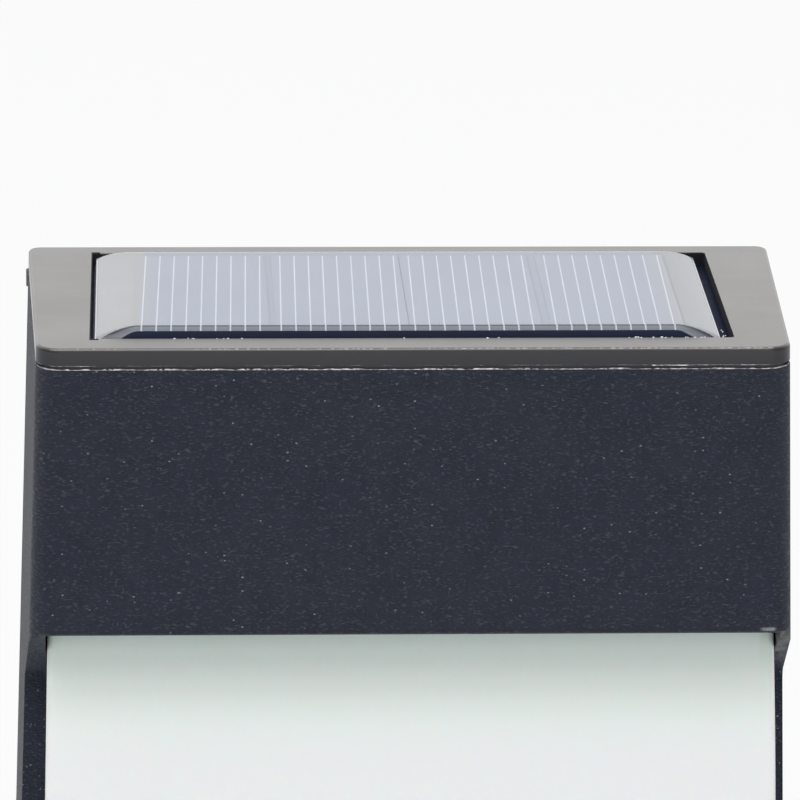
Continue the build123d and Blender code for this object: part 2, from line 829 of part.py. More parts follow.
def make_driver_chip():
    """Eight-legged chip on the back of the control board."""
    half = chip_width / 2
    low = chip_height_centre - chip_length / 2
    near = control_back + chip_stand
    body = block(chip_side - half, chip_side + half, near, near + chip_height, low, low + chip_length)
    body = chamfer(body.faces().sort_by(Axis.Y)[-1].edges(), chip_edge_chamfer)
    leg_pitch = chip_length / chip_leg_count
    reach = half + chip_leg_reach
    leg_back = control_back + chip_leg_height
    for number in range(chip_leg_count):
        leg_low = low + leg_pitch * (number + 0.5) - chip_leg_width / 2
        leg_high = leg_low + chip_leg_width
        body += block(chip_side - reach, chip_side + reach, control_back, leg_back, leg_low, leg_high)
    return body


def make_choke():
    """Small round choke beside the chip."""
    far = control_back + choke_length
    core = rod_back(choke_side, choke_height_centre, control_back, far, choke_radius)
    waist_start = control_back + choke_flange
    waist_end = far - choke_flange
    waist = choke_radius - choke_groove
    ring = rod_back(choke_side, choke_height_centre, waist_start, waist_end, choke_radius + overcut)
    ring -= rod_back(choke_side, choke_height_centre, waist_start, waist_end, waist)
    return core - ring


def make_switch_body():
    """Square body of the push switch, with the bore that guides the button's stem."""
    half = switch_width / 2
    low = switch_centre - half
    left = switch_side - half
    body = block(left, left + switch_width, control_back, switch_back, low, low + switch_width)
    body = chamfer(body.edges().filter_by(Axis.Y), switch_edge_chamfer)
    bore_start = switch_back - button_stem_in_switch - button_travel - switch_bore_gap
    bore_radius = plunger_radius + plunger_clearance
    return body - rod_back(switch_side, switch_centre, bore_start, switch_back + overcut, bore_radius)


def make_power_button():
    """Push button: a domed cap outside and a stem that slides in the switch."""
    cap = rod_back(switch_side, switch_centre, button_start, button_end, button_radius)
    cap = fillet(cap.edges().filter_by(GeomType.CIRCLE).sort_by(Axis.Y)[-1], button_edge_radius)
    stem_start = switch_back - button_stem_in_switch
    return cap + rod_back(switch_side, switch_centre, stem_start, button_start, plunger_radius)


def seal_ring_radius():
    """Outside radius of the rubber ring round the button."""
    return button_radius + button_clearance + seal_ring_wall


def make_button_seal():
    """Rubber ring in the cover, with a flange on the inside."""
    start = cover_front - button_collar_length
    flange_start = start - seal_ring_flange
    flange_radius = seal_ring_radius() + seal_ring_flange
    ring = rod_back(switch_side, switch_centre, start, depth - seal_ring_recess, seal_ring_radius())
    ring += rod_back(switch_side, switch_centre, flange_start, start, flange_radius)
    bore = button_radius + button_clearance
    return ring - rod_back(switch_side, switch_centre, flange_start - overcut, depth + overcut, bore)


# ---- battery ----


def cell_axis_depth():
    """Depth of the battery cell's axis."""
    return chassis_back + holder_wall + battery_clearance + battery_radius


def rod_across(x_low, x_high, distance, level, radius):
    """A round rod along X."""
    middle = (x_low + x_high) / 2
    return Pos(middle, at_depth(distance), level) * Rot(0, 90, 0) * Cylinder(radius, x_high - x_low)


def cell_low_x():
    """X of the cell's flat end."""
    return -battery_length / 2


def cell_high_x():
    """X of the cell's other shoulder, where the nub starts."""
    return battery_length / 2


def holder_ends():
    """X of the inner faces of the tray's end walls."""
    low = cell_low_x() - holder_end_room
    high = cell_high_x() + battery_nub_length + contact_thickness
    return low, high


def holder_ear_side():
    """From the middle to each ear's screw."""
    low, high = holder_ends()
    return max(-low, high) + holder_wall + screw_head_radius + holder_ear_gap


def make_battery_cell():
    """AA cell lying across the light, with its nub to the right."""
    level = battery_height
    cell = rod_across(cell_low_x(), cell_high_x(), cell_axis_depth(), level, battery_radius)
    rims = cell.edges().filter_by(GeomType.CIRCLE)
    cell = fillet(rims, cell_rim_radius)
    nub_end = cell_high_x() + battery_nub_length
    nub = rod_across(cell_high_x() - overcut, nub_end, cell_axis_depth(), level, battery_nub_radius)
    nub = fillet(nub.edges().filter_by(GeomType.CIRCLE).sort_by(Axis.X)[-1], nub_rim_radius)
    return cell + nub


def make_battery_holder():
    """Open tray that the cell snaps into from behind, with an ear at each end."""
    low, high = holder_ends()
    axis = cell_axis_depth()
    bore = battery_radius + battery_clearance
    reach = bore + holder_wall
    bottom = battery_height - reach
    top = battery_height + reach
    back = axis + holder_snap_height
    tray = block(low - holder_wall, high + holder_wall, chassis_back, back, bottom, top)
    cell_low = cell_low_x() - holder_end_clearance
    cell_high = cell_high_x() + holder_end_clearance
    tray -= rod_across(cell_low, cell_high, axis, battery_height, bore)
    mouth = math.sqrt(bore**2 - holder_snap_height**2)
    mouth_low = battery_height - mouth
    tray -= block(cell_low, cell_high, back - overcut, back + overcut, mouth_low, mouth_low + 2 * mouth)
    pocket = contact_width / 2 + holder_contact_gap
    pocket_low = battery_height - pocket
    tray -= block(low, high, axis - pocket, back + overcut, pocket_low, pocket_low + 2 * pocket)
    tray += holder_ears() - block(low, high, chassis_back, back, bottom, top)
    for side in (-1, 1):
        x = side * holder_ear_side()
        tray -= rod_back(x, battery_height, chassis_back - overcut, back, hole_radius)
    for x in battery_lead_starts():
        slot_top = bottom + holder_wall + holder_lead_slot
        tray -= rod_up(x, axis, bottom - overcut, slot_top, lead_radius + lead_hole_clearance)
    return tray


def holder_ears():
    """A strip along the tray's floor with a round ear at each end."""
    side = holder_ear_side()
    half = screw_head_radius + holder_ear_margin
    far = chassis_back + holder_wall
    ears = block(-side, side, chassis_back, far, battery_height - half, battery_height + half)
    ears += rod_back(-side, battery_height, chassis_back, far, half)
    return ears + rod_back(side, battery_height, chassis_back, far, half)


def make_holder_screws():
    """Two screws through the tray's ears into the chassis."""
    length = holder_wall + chassis_thickness + light_boss_length - screw_end_gap
    seat = chassis_back + holder_wall
    return [back_screw_at(side * holder_ear_side(), battery_height, seat, length) for side in (-1, 1)]


def contact_plate(x_low):
    """A square spring-steel plate against an end wall."""
    half = contact_width / 2
    near = cell_axis_depth() - half
    low = battery_height - half
    plate = block(x_low, x_low + contact_thickness, near, near + contact_width, low, low + contact_width)
    return fillet(plate.edges().filter_by(Axis.X), contact_corner_radius)


def make_battery_contact():
    """Flat contact at the nub end."""
    return contact_plate(cell_high_x() + battery_nub_length)


def tangent_pair(start, start_way, end, end_way):
    """Two arcs that join two points smoothly, leaving one and reaching the other in the given ways."""
    span = end - start
    both = span.dot(start_way + end_way)
    spread = 1 - start_way.dot(end_way)
    reach = (math.sqrt(both**2 + 2 * spread * span.dot(span)) - both) / (2 * spread)
    first_corner = start + start_way * reach
    second_corner = end - end_way * reach
    middle = (first_corner + second_corner) * 0.5
    middle_way = (second_corner - first_corner).normalized()
    return [TangentArc(start, middle, tangent=start_way), TangentArc(middle, end, tangent=middle_way)]


def make_battery_spring():
    """Contact plate with a tapering coil spring that presses on the flat end."""
    low, high = holder_ends()
    plate = contact_plate(low)
    start = low + contact_thickness + spring_wire_radius
    end = cell_low_x() - spring_wire_radius
    quarters = 4 * spring_turns
    stops = []
    for number in range(quarters + 1):
        share = number / quarters
        angle = math.pi / 2 * number
        radius = spring_large_radius + (spring_small_radius - spring_large_radius) * share
        place = Vector(start + (end - start) * share, radius * math.cos(angle), radius * math.sin(angle))
        climb = (end - start) / quarters
        way = Vector(climb, -radius * math.sin(angle) * math.pi / 2, radius * math.cos(angle) * math.pi / 2)
        stops.append((place, way.normalized()))
    arcs = []
    for (place, way), (next_place, next_way) in zip(stops, stops[1:]):
        arcs += tangent_pair(place, way, next_place, next_way)
    wire = Wire(arcs)
    profile = Plane(wire @ 0, z_dir=wire % 0) * Circle(spring_wire_radius)
    coil = sweep(profile, path=wire)
    foot = Pos(start - spring_wire_radius, spring_large_radius, 0) * Box(
        2 * spring_wire_radius, 4 * spring_wire_radius, 6 * spring_wire_radius
    )
    coil = Pos(0, at_depth(cell_axis_depth()), battery_height) * (coil + foot)
    return plate + coil


# ---- leads between the pieces ----


def lead_along(points, corner_radius):
    """A round insulated wire along straight runs joined by arcs."""
    route = [(x, at_depth(distance), level) for x, distance, level in points]
    path = FilletPolyline(*route, radius=corner_radius)
    start = Plane(path @ 0, z_dir=path % 0)
    return sweep(start * Circle(lead_radius), path=path)


def make_panel_lead(side):
    """From the panel's board down past the end of the battery to the control board."""
    exit_level = recess_floor + tape_thickness
    step_out, step_back = panel_lead_step
    slack_out, slack_back, slack_up = panel_lead_slack
    board_top = control_centre + control_height / 2
    half = control_width / 2
    pad_x = side * (half - lead_pad_inset)
    pad_level = control_centre + panel_pad_rise
    points = [
        (side * lead_exit_side, lead_exit_depth, exit_level),
        (side * lead_exit_side, lead_exit_depth, exit_level - panel_lead_drop),
        (side * (lead_exit_side + step_out), lead_exit_depth + step_back, battery_height - panel_lead_pass),
        (side * (half + slack_out), control_back + slack_back, board_top + slack_up),
        (pad_x, control_back + panel_lead_depth, pad_level),
        (pad_x, control_back, pad_level),
    ]
    return lead_along(points, panel_lead_bend)


def battery_lead_starts():
    """X of the two leads where they leave the tray."""
    low, high = holder_ends()
    return low + contact_thickness + lead_radius, high - contact_thickness - lead_radius


def make_battery_lead(number):
    """From one contact down to the control board."""
    x = battery_lead_starts()[number]
    side = math.copysign(1, x)
    slack_out, slack_back, slack_down = battery_lead_slack
    start_level = battery_height - contact_width / 2
    below = battery_height - battery_radius - battery_clearance - holder_wall
    pad_x = side * control_width / 5
    pad_level = control_centre + control_height / 2 - lead_pad_inset
    points = [
        (x, cell_axis_depth(), start_level),
        (x, cell_axis_depth(), below - battery_lead_drop),
        (side * slack_out, cell_axis_depth() + slack_back, below - slack_down),
        (pad_x, control_back + battery_lead_depth, pad_level),
        (pad_x, control_back, pad_level),
    ]
    return lead_along(points, battery_lead_bend)


# ---- back cover ----


def make_back_cover():
    """Flat cover with a locating rib, four screw holes, two keyholes and the button's collar."""
    cover = tapered_block(0, shell_top, cover_front, depth)
    cover = round_corners(cover, 0, back_corner_radius)
    cover = chamfer(cover.faces().sort_by(Axis.Y)[-1].edges(), cover_edge_chamfer)
    cover += cover_rib_ring()
    for side in (-1, 1):
        x = side * keyhole_side
        pocket_front = cover_front - keyhole_pocket_depth - keyhole_pocket_wall
        cover += keyhole_pocket(x, keyhole_pocket_wall, pocket_front) + cover_ear(side)
    collar_start = cover_front - button_collar_length
    cover += rod_back(switch_side, switch_centre, collar_start, cover_front, button_collar_radius)
    near = cover_front - overcut
    far = depth + overcut
    cover -= rod_back(switch_side, switch_centre, collar_start - overcut, far, seal_ring_radius())
    slot_top = keyhole_height + keyhole_slot_length
    for side in (-1, 1):
        x = side * keyhole_side
        left = x - keyhole_slot_radius
        cover -= keyhole_pocket(x, 0, cover_front - keyhole_pocket_depth)
        cover -= rod_back(x, keyhole_height, near, far, keyhole_entry_radius)
        cover -= rod_back(x, slot_top, near, far, keyhole_slot_radius)
        cover -= block(left, left + 2 * keyhole_slot_radius, near, far, keyhole_height, slot_top)
    head_hole = cover_screw_head_radius + screw_hole_clearance
    for x, level in corner_boss_places():
        cover -= rod_back(x, level, near, far, hole_radius)
        cover -= rod_back(x, level, cover_screw_seat, far, head_hole)
    return cover


def cover_rib_ring():
    """The rib that enters the housing, notched round its corner bosses."""
    outer = wall + fit_gap
    inner = outer + cover_rib_thickness
    rib_front = cover_front - cover_rib
    high = skirt_low - fit_gap
    ring = tapered_block(outer, high, rib_front, cover_front, outer)
    inner_high = high - cover_rib_thickness
    ring -= tapered_block(inner, inner_high, rib_front - overcut, cover_front + overcut, inner)
    for x, level in corner_boss_places():
        ring -= rod_back(x, level, rib_front - overcut, cover_front, corner_boss_radius + 2 * fit_gap)
    return ring


def cover_ear(side):
    """The small rounded ear that stands out at an upper corner of the cover."""
    distance = cover_front + cover_ear_radius
    reach = half_width(distance, shell_top) + cover_ear_proud - cover_ear_radius
    low = shell_top - cover_ear_height
    return rod_up(side * reach, distance, low, shell_top, cover_ear_radius)


def keyhole_pocket(x, grow, start):
    """The space behind a keyhole where the wall screw's head slides, or the same form with its wall."""
    radius = keyhole_entry_radius + keyhole_pocket_gap + grow
    slot_top = keyhole_height + keyhole_slot_length
    pocket = rod_back(x, keyhole_height, start, cover_front, radius)
    pocket += rod_back(x, slot_top, start, cover_front, radius)
    return pocket + block(x - radius, x + radius, start, cover_front, keyhole_height, slot_top)


def make_back_seal():
    """Flat rubber ring between the housing's back edge and the cover."""
    ring = tapered_block(seam_inset, shell_top, shell_back, cover_front, seam_inset)
    hole_top = shell_top - wall
    return ring - tapered_block(wall, hole_top, shell_back - overcut, cover_front + overcut, wall)


def make_back_screws():
    """Four screws that hold the cover, sunk below the wall face."""
    pilot_start = shell_back - corner_boss_length + corner_boss_floor
    length = cover_screw_seat - pilot_start - cover_screw_end_gap
    head = (cover_screw_head_radius, cover_screw_head_height)
    return [back_screw_at(x, level, cover_screw_seat, length, *head) for x, level in corner_boss_places()]


pieces = {
    "top_lid": make_lid(),
    "lid_seal": make_lid_seal(),
    "lid_screws": make_lid_screws(),
    "panel_tape": make_panel_tape(),
    "panel_board": make_panel_board(),
    "solar_cells": make_solar_cells(),
    "panel_resin": make_panel_resin(),
    "housing": make_housing(),
    "diffuser_lens": make_lens(),
    "lens_seal": make_lens_seal(),
    "chassis": make_chassis(),
    "chassis_screws": make_chassis_screws(),
    "light_board": make_light_board(),
    "leds": make_leds(),
    "light_board_screws": make_light_screws(),
    "light_leads": make_light_leads(),
    "control_board": make_control_board(),
    "control_board_screws": make_control_screws(),
    "driver_chip": make_driver_chip(),
    "choke": make_choke(),
    "switch_body": make_switch_body(),
    "power_button": make_power_button(),
    "button_seal": make_button_seal(),
    "battery_holder": make_battery_holder(),
    "battery_cell": make_battery_cell(),
    "battery_spring": make_battery_spring(),
    "battery_contact": make_battery_contact(),
    "holder_screws": make_holder_screws(),
    "panel_lead_red": make_panel_lead(1),
    "panel_lead_black": make_panel_lead(-1),
    "battery_lead_black": make_battery_lead(0),
    "battery_lead_red": make_battery_lead(1),
    "back_cover": make_back_cover(),
    "back_seal": make_back_seal(),
    "back_screws": make_back_screws(),
}

os.makedirs("parts", exist_ok=True)
for name, shape in pieces.items():
    solids = shape if isinstance(shape, list) else [shape]
    solids = [solid for item in solids for solid in item.solids()]
    kept = Compound(children=solids) if len(solids) > 1 else solids[0]
    export_step(kept, f"parts/{name}.step")
    print(name, len(solids), [round(solid.volume, 1) for solid in solids])
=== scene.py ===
import math
import random

import bmesh
import bpy
from mathutils import Matrix, Vector


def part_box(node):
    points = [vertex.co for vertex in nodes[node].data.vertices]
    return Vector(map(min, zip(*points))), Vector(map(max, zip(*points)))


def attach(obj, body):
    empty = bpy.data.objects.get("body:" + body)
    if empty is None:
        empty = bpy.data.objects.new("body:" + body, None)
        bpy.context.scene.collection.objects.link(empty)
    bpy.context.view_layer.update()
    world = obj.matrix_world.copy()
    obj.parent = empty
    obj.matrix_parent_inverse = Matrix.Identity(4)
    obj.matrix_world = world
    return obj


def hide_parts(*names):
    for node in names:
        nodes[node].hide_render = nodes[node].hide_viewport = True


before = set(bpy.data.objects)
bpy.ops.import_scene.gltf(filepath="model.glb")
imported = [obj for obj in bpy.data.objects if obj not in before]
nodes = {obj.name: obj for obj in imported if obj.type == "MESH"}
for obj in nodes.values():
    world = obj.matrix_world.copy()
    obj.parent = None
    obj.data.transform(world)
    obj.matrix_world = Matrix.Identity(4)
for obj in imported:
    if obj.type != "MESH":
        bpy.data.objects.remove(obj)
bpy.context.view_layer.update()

MM = 0.001

# ---- the outer form, as the case is drawn, in millimetres ----
FRONT_HALF_WIDTH = 47.5  # half the lid's front edge
SIDE_DRAFT = 0.036  # spread of each side for each millimetre backwards
SIDE_FLARE = 0.030  # spread of each side for each millimetre downwards
FRONT_CORNER = 3.0
LENS_SHIFT = 0.3  # the lens sits a little right of the middle
LENS_HALF_WIDTH = 46.75  # at the head's bottom edge
LENS_FLARE = 0.018
LENS_WALL = 1.8
HEAD_BOTTOM = 74.1
RECESS_HALF_WIDTH = 40.75
RECESS_FRONT = 4.8  # behind the lid's front edge
RECESS_BACK = 46.4
RECESS_FLOOR = 3.0  # below the lid's top

# ---- the solar panel ----
DOME_DROP = 1.3  # how far the resin's top falls towards its edges
DOME_ROLL_END = 5.2
DOME_ROLL_FRONT = 2.4
CORNER_DROP = 1.18 * DOME_DROP  # where an end's roll meets the front's
RESIN_INSET_LEFT = 0.14  # the cast resin stops short of its board's left edge
SHADE_FILL_SHARE = 0.38  # of the resin's front roll that the dark fill of painted shade covers
CELLS = 4
CELL_GAPS = (0.8, 0.1, 1.1)
FINGERS = 9  # silver lines on each cell
FINGER_WIDTH = 0.17
FINGER_SKEW = 0.018  # their lean to the side for each millimetre backwards

# ---- inside ----
LIGHTS = 6
LIGHT_SIZE = 5.0
LEAD_RADIUS = 0.6
PANEL_PAD_SIDE = 17.0
PANEL_PAD_HEIGHT = 34.0
BATTERY_PAD_SIDE = 8.0
BATTERY_PAD_HEIGHT = 43.0
CHIP_HALF_WIDTH = 1.95
CHIP_LEGS = 4  # on each side
CHIP_LEG_PITCH = 1.27
WIRE_RADIUS = 0.2  # of the choke's winding

# ---- camera, fitted to the edges in the photograph ----
PHOTO_WIDTH = 800.0
FOCAL_PIXELS = 5971.0
SENSOR_WIDTH = 36.0
CAMERA_SIDE = -34.73
CAMERA_DISTANCE = 720.63  # in front of the head
CAMERA_RISE = 205.41  # above the lid
CAMERA_PITCH = math.radians(16.388)
CAMERA_YAW = math.radians(2.615)
CAMERA_ROLL = math.radians(-0.576)

# ---- light ----
WORLD_FILL = 0.5
FRONT_MIRROR = 0.35  # how bright the room in front looks in gloss
FLOOR_DROP = 0.1  # keeps the light's underside out of the floor
FLOOR_GLOW = 0.87  # share of plain white in the floor that the camera sees
LAMP_TARGET = (0, 0, 0.06)


def box_mm(name):
    """A node's lowest and highest corners, in millimetres."""
    low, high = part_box(name)
    return low / MM, high / MM


lid_low, lid_high = box_mm("top_lid")
shell_low, shell_high = box_mm("housing")
resin_low, resin_high = box_mm("panel_resin")
board_low, board_high = box_mm("panel_board")
cells_low, cells_high = box_mm("solar_cells")
cell_width = (cells_high.x - cells_low.x - sum(CELL_GAPS)) / CELLS
finishes = {}


def half_width(y, z):
    """Half the case's outside width at a place."""
    return FRONT_HALF_WIDTH + SIDE_DRAFT * (y - lid_low.y) + SIDE_FLARE * (lid_high.z - z)


# ---- patterns ----
# A material's places are in metres, and the places that are named here are in millimetres.


def new_finish(name, colour, roughness, **fixed):
    """A plain finish, kept under its name. Extra sockets are given by name, with _ for a space."""
    material = finishes[name] = bpy.data.materials.new(name)
    material.use_nodes = True
    shader = material.node_tree.nodes["Principled BSDF"]
    shader.inputs["Base Color"].default_value = (*colour, 1.0)
    shader.inputs["Roughness"].default_value = roughness
    for socket, value in fixed.items():
        shader.inputs[socket.replace("_", " ")].default_value = value
    return material


def add(material, kind, inputs=None, **settings):
    """A node with its settings, and its inputs set to values or joined to other nodes' outputs."""
    node = material.node_tree.nodes.new(kind)
    for key, value in settings.items():
        setattr(node, key, value)
    for socket, value in (inputs or {}).items():
        if isinstance(value, bpy.types.NodeSocket):
            material.node_tree.links.new(value, node.inputs[socket])
        else:
            node.inputs[socket].default_value = value
    return node


def feed(material, socket, source):
    """Join a node's output to a socket of the finish's shader."""
    shader = material.node_tree.nodes["Principled BSDF"]
    material.node_tree.links.new(source, shader.inputs[socket])


def overlay(material, cover, shader):
    """Mix another shader over the finish's surface, as far as its cover says."""
    surface = material.node_tree.nodes["Material Output"].inputs["Surface"]
    below = surface.links[0].from_socket
    mix = add(material, "ShaderNodeMixShader", {0: cover, 1: below, 2: shader.outputs[0]})
    material.node_tree.links.new(mix.outputs[0], surface)


def combine(material, operation, first, second=0.0):
    """One step of arithmetic on plain values or nodes' outputs."""
    return add(material, "ShaderNodeMath", {0: first, 1: second}, operation=operation).outputs[0]


def times(material, first, *others):
    """The product of plain values or nodes' outputs."""
    for other in others:
        first = combine(material, "MULTIPLY", first, other)
    return first


def minus(material, first, *others):
    """What is left of a value after others are taken from it."""
    for other in others:
        first = combine(material, "SUBTRACT", first, other)
    return first


def place(material, stretch=(1.0, 1.0, 1.0)):
    """Places on the piece in its own metres, stretched for a pattern that runs one way."""
    where = add(material, "ShaderNodeTexCoord").outputs["Object"]
    return add(material, "ShaderNodeMapping", {"Vector": where, "Scale": stretch}).outputs["Vector"]


def whereabouts(material):
    """How far along X, Y and Z a point of the piece lies, in metres."""
    parts = add(material, "ShaderNodeSeparateXYZ", {"Vector": place(material)})
    return parts.outputs["X"], parts.outputs["Y"], parts.outputs["Z"]


def clouds(material, where, size, detail=3.0):
    """Soft random patches about this big, in millimetres."""
    inputs = {"Vector": where, "Scale": 1.0 / (size * MM), "Detail": detail}
    return add(material, "ShaderNodeTexNoise", inputs).outputs["Fac"]


def spread(material, value, low, high, to_low=0.0, to_high=1.0):
    """Stretch a value's range and hold it at the ends."""
    inputs = {"Value": value, "From Min": low, "From Max": high, "To Min": to_low, "To Max": to_high}
    return add(material, "ShaderNodeMapRange", inputs).outputs["Result"]


def slope(material, value, low, high, to_low=0.0, to_high=1.0):
    """A change from one place to another, both in millimetres."""
    return spread(material, value, low * MM, high * MM, to_low, to_high)


def within(material, value, low, high, soft=0.05):
    """1 between two places in millimetres, 0 outside them."""
    above = slope(material, value, low - soft, low + soft)
    below = slope(material, value, high + soft, high - soft)
    return times(material, above, below)


def blend_colours(material, factor, first, second):
    """A colour between two, each a plain colour or a node's output."""
    first = first if isinstance(first, bpy.types.NodeSocket) else (*first, 1.0)
    second = second if isinstance(second, bpy.types.NodeSocket) else (*second, 1.0)
    node = add(material, "ShaderNodeMix", {0: factor, 6: first, 7: second}, data_type="RGBA")
    return node.outputs[2]


def paint(material, body, *coats):
    """Lay coats over a body colour in turn, each a cover from 0 to 1 and its colour."""
    for cover, colour in coats:
        body = blend_colours(material, cover, body, colour)
    return body


def dents(material, height, depth, strength=1.0, **sockets):
    """A bumped normal from a height pattern, this deep in millimetres."""
    inputs = {"Height": height, "Distance": depth * MM, "Strength": strength, **sockets}
    return add(material, "ShaderNodeBump", inputs).outputs["Normal"]


def flecks(material, where, spacing, share, size):
    """Scattered specks: one place in each cell of this spacing, in this share of the cells."""
    inputs = {"Vector": where, "Scale": 1.0 / (spacing * MM), "Randomness": 1.0}
    cells = add(material, "ShaderNodeTexVoronoi", inputs)
    lot = add(material, "ShaderNodeSeparateColor", {"Color": cells.outputs["Color"]})
    chosen = spread(material, lot.outputs["Red"], share, share * 0.5)
    near = spread(material, cells.outputs["Distance"], size, size * 0.4)
    return times(material, chosen, near)


# ---- finishes ----


def lit_cove_smears(material, x, y, z, scuffs_and_sheen):
    """The cover of the paler smears on the slanted face at the right, just under the head: a painted
    highlight where it catches the light, with a smeared texture.
    """
    below_head = slope(material, z, HEAD_BOTTOM + 0.1, HEAD_BOTTOM - 0.05)
    heights = times(material, slope(material, z, 64.5, 69), below_head)
    right = times(material, within(material, x, 45.8, 60), heights)
    depths = within(material, y, lid_low.y + 0.3, lid_low.y + 18.2)
    draft = times(material, minus(material, y, lid_low.y * MM), SIDE_DRAFT)
    flare = times(material, minus(material, lid_high.z * MM, z), SIDE_FLARE)
    side = minus(material, x, draft, flare)
    off_side = slope(material, side, FRONT_HALF_WIDTH - 0.06, FRONT_HALF_WIDTH - 0.16)
    inward = slope(material, y, lid_low.y + 8, lid_low.y + 18, 1.0, 0.3)
    smear_highlight = spread(material, scuffs_and_sheen, 0.38, 0.6, 0.25, 1.0)
    return times(material, right, depths, off_side, inward, smear_highlight)


def gate_mark(material, x, z, front, scuffs_and_sheen):
    """The cover of the pale mark at the foot of the head's front, where its mould was filled."""
    across = within(material, x, 44.75, 46.45, 0.3)
    heights = within(material, z, HEAD_BOTTOM + 0.32, HEAD_BOTTOM + 0.7, 0.14)
    return times(material, across, heights, front, spread(material, scuffs_and_sheen, 0.4, 0.56, 0.25, 1.0))


def cover_ears(material, x, y, z):
    """The cover of the paler ears at the back cover's upper corners."""
    behind = within(material, y, shell_high.y + 0.1, 26)
    outside = slope(material, combine(material, "ABSOLUTE", x), 49.2, 49.6)
    return times(material, behind, within(material, z, 106.9, 110), outside)


def shell_plastic():
    """Dark blue-grey moulding: spark-eroded grain drawn out sideways with painted highlights on its streaks
    and painted shade in its troughs, painted glints, painted shade and a painted highlight at the head's
    foot, a smeared cove with a painted highlight, a pale gate mark and paler ears.
    """
    material = new_finish("shell_plastic", (0.012, 0.016, 0.027), 0.5, Specular_IOR_Level=0.41)
    x, y, z = whereabouts(material)
    plain = place(material)
    grain = clouds(material, place(material, (0.5, 0.5, 1.4)), 0.3, 4.0)
    mottle = spread(material, clouds(material, plain, 9, 2.0), 0.35, 0.65)
    drifts = spread(material, clouds(material, plain, 3.5, 2.0), 0.38, 0.62, 0.62, 1.0)
    # The specks, sparks and low sparks are painted glints: light caught by tiny facets of the grain, the
    # low ones growing away from the head's shadow.
    specks = flecks(material, place(material, (0.65, 0.65, 1.2)), 0.6, 0.55, 0.2)
    painted_glints = flecks(material, place(material, (0.7, 0.7, 1.1)), 0.8, 0.24, 0.15)
    low_painted_glints = times(material, flecks(material, plain, 0.55, 0.4, 0.19), slope(material, z, 65.5, 60))
    front = within(material, y, lid_low.y - 1, lid_low.y + 0.6)
    # Painted shade in a thin band just above the head's bottom edge, and a painted highlight along that
    # edge.
    shade = times(material, front, within(material, z, HEAD_BOTTOM + 0.35, HEAD_BOTTOM + 0.75, 0.1))
    foot_highlight = times(material, front, within(material, z, HEAD_BOTTOM - 1, HEAD_BOTTOM + 0.18))
    # Patches used both for the gate mark's scuffs and for the cove's painted highlight.
    scuffs_and_sheen = clouds(material, place(material, (1.0, 0.4, 0.7)), 1.3)
    colour = paint(
        material,
        blend_colours(material, mottle, (0.0068, 0.0132, 0.0345), (0.0098, 0.0158, 0.0365)),
        # The grain's lighter streaks are painted highlights where it catches the light, and its darker
        # troughs are painted shade.
        (times(material, spread(material, grain, 0.56, 0.67), drifts), (0.075, 0.083, 0.112)),
        (times(material, spread(material, grain, 0.44, 0.34), drifts, 0.42), (0.002, 0.004, 0.012)),
        (times(material, specks, 0.55), (0.14, 0.15, 0.19)),
        (painted_glints, (0.42, 0.42, 0.45)),
        (low_painted_glints, (0.3, 0.31, 0.35)),
        (times(material, shade, 0.6), (0.009, 0.012, 0.02)),
        (times(material, foot_highlight, 0.8), (0.055, 0.068, 0.075)),
        (lit_cove_smears(material, x, y, z, scuffs_and_sheen), (0.165, 0.165, 0.17)),
        (gate_mark(material, x, z, front, scuffs_and_sheen), (0.36, 0.36, 0.37)),
        (cover_ears(material, x, y, z), (0.2, 0.2, 0.195)),
    )
    feed(material, "Base Color", colour)
    feed(material, "Roughness", spread(material, grain, 0.3, 0.7, 0.58, 0.4))
    relief = times(material, spread(material, grain, 0.45, 0.72), drifts)
    fine = dents(material, grain, 0.09, 0.6)
    feed(material, "Normal", dents(material, relief, 0.32, Normal=fine))


def worn_and_lit_edge(material, x, y, z):
    """The cover of the whitened wear along the lid's front edge, with a painted highlight on it, stronger
    towards the right.
    """
    at_front = within(material, y, lid_low.y - 1, lid_low.y + 0.27, 0.03)
    at_edge = times(material, at_front, within(material, z, lid_high.z - 0.1, lid_high.z + 1, 0.04))
    rubbed_and_lit = clouds(material, place(material, (0.6, 1.0, 1.0)), 0.4, 4.0)
    stretches = clouds(material, place(material, (1.0, 0.1, 0.1)), 9, 2.0)
    stretches = spread(material, stretches, 0.3, 0.7, -0.08, 0.04)
    stretches = combine(material, "ADD", stretches, slope(material, x, -20, 30, 0.0, 0.12))
    rubbed_and_lit = spread(material, combine(material, "ADD", rubbed_and_lit, stretches), 0.53, 0.68, 0.12, 0.8)
    return times(material, at_edge, rubbed_and_lit)


def recess_shade(material, x, y, z):
    """The cover of the dark inside of the panel's recess, and of a sliver of the lip at its left."""
    depth = within(material, z, lid_high.z - RECESS_FLOOR - 0.1, lid_high.z - 0.14, 0.02)
    left_lip = within(material, x, -RECESS_HALF_WIDTH - 0.14, -RECESS_HALF_WIDTH + 1, 0.03)
    depth = combine(material, "MAXIMUM", depth, left_lip)
    reach = RECESS_HALF_WIDTH + 0.75
    rows = within(material, y, lid_low.y + RECESS_FRONT - 0.6, lid_low.y + RECESS_BACK + 0.6)
    return times(material, within(material, x, -reach, reach), depth, rows)


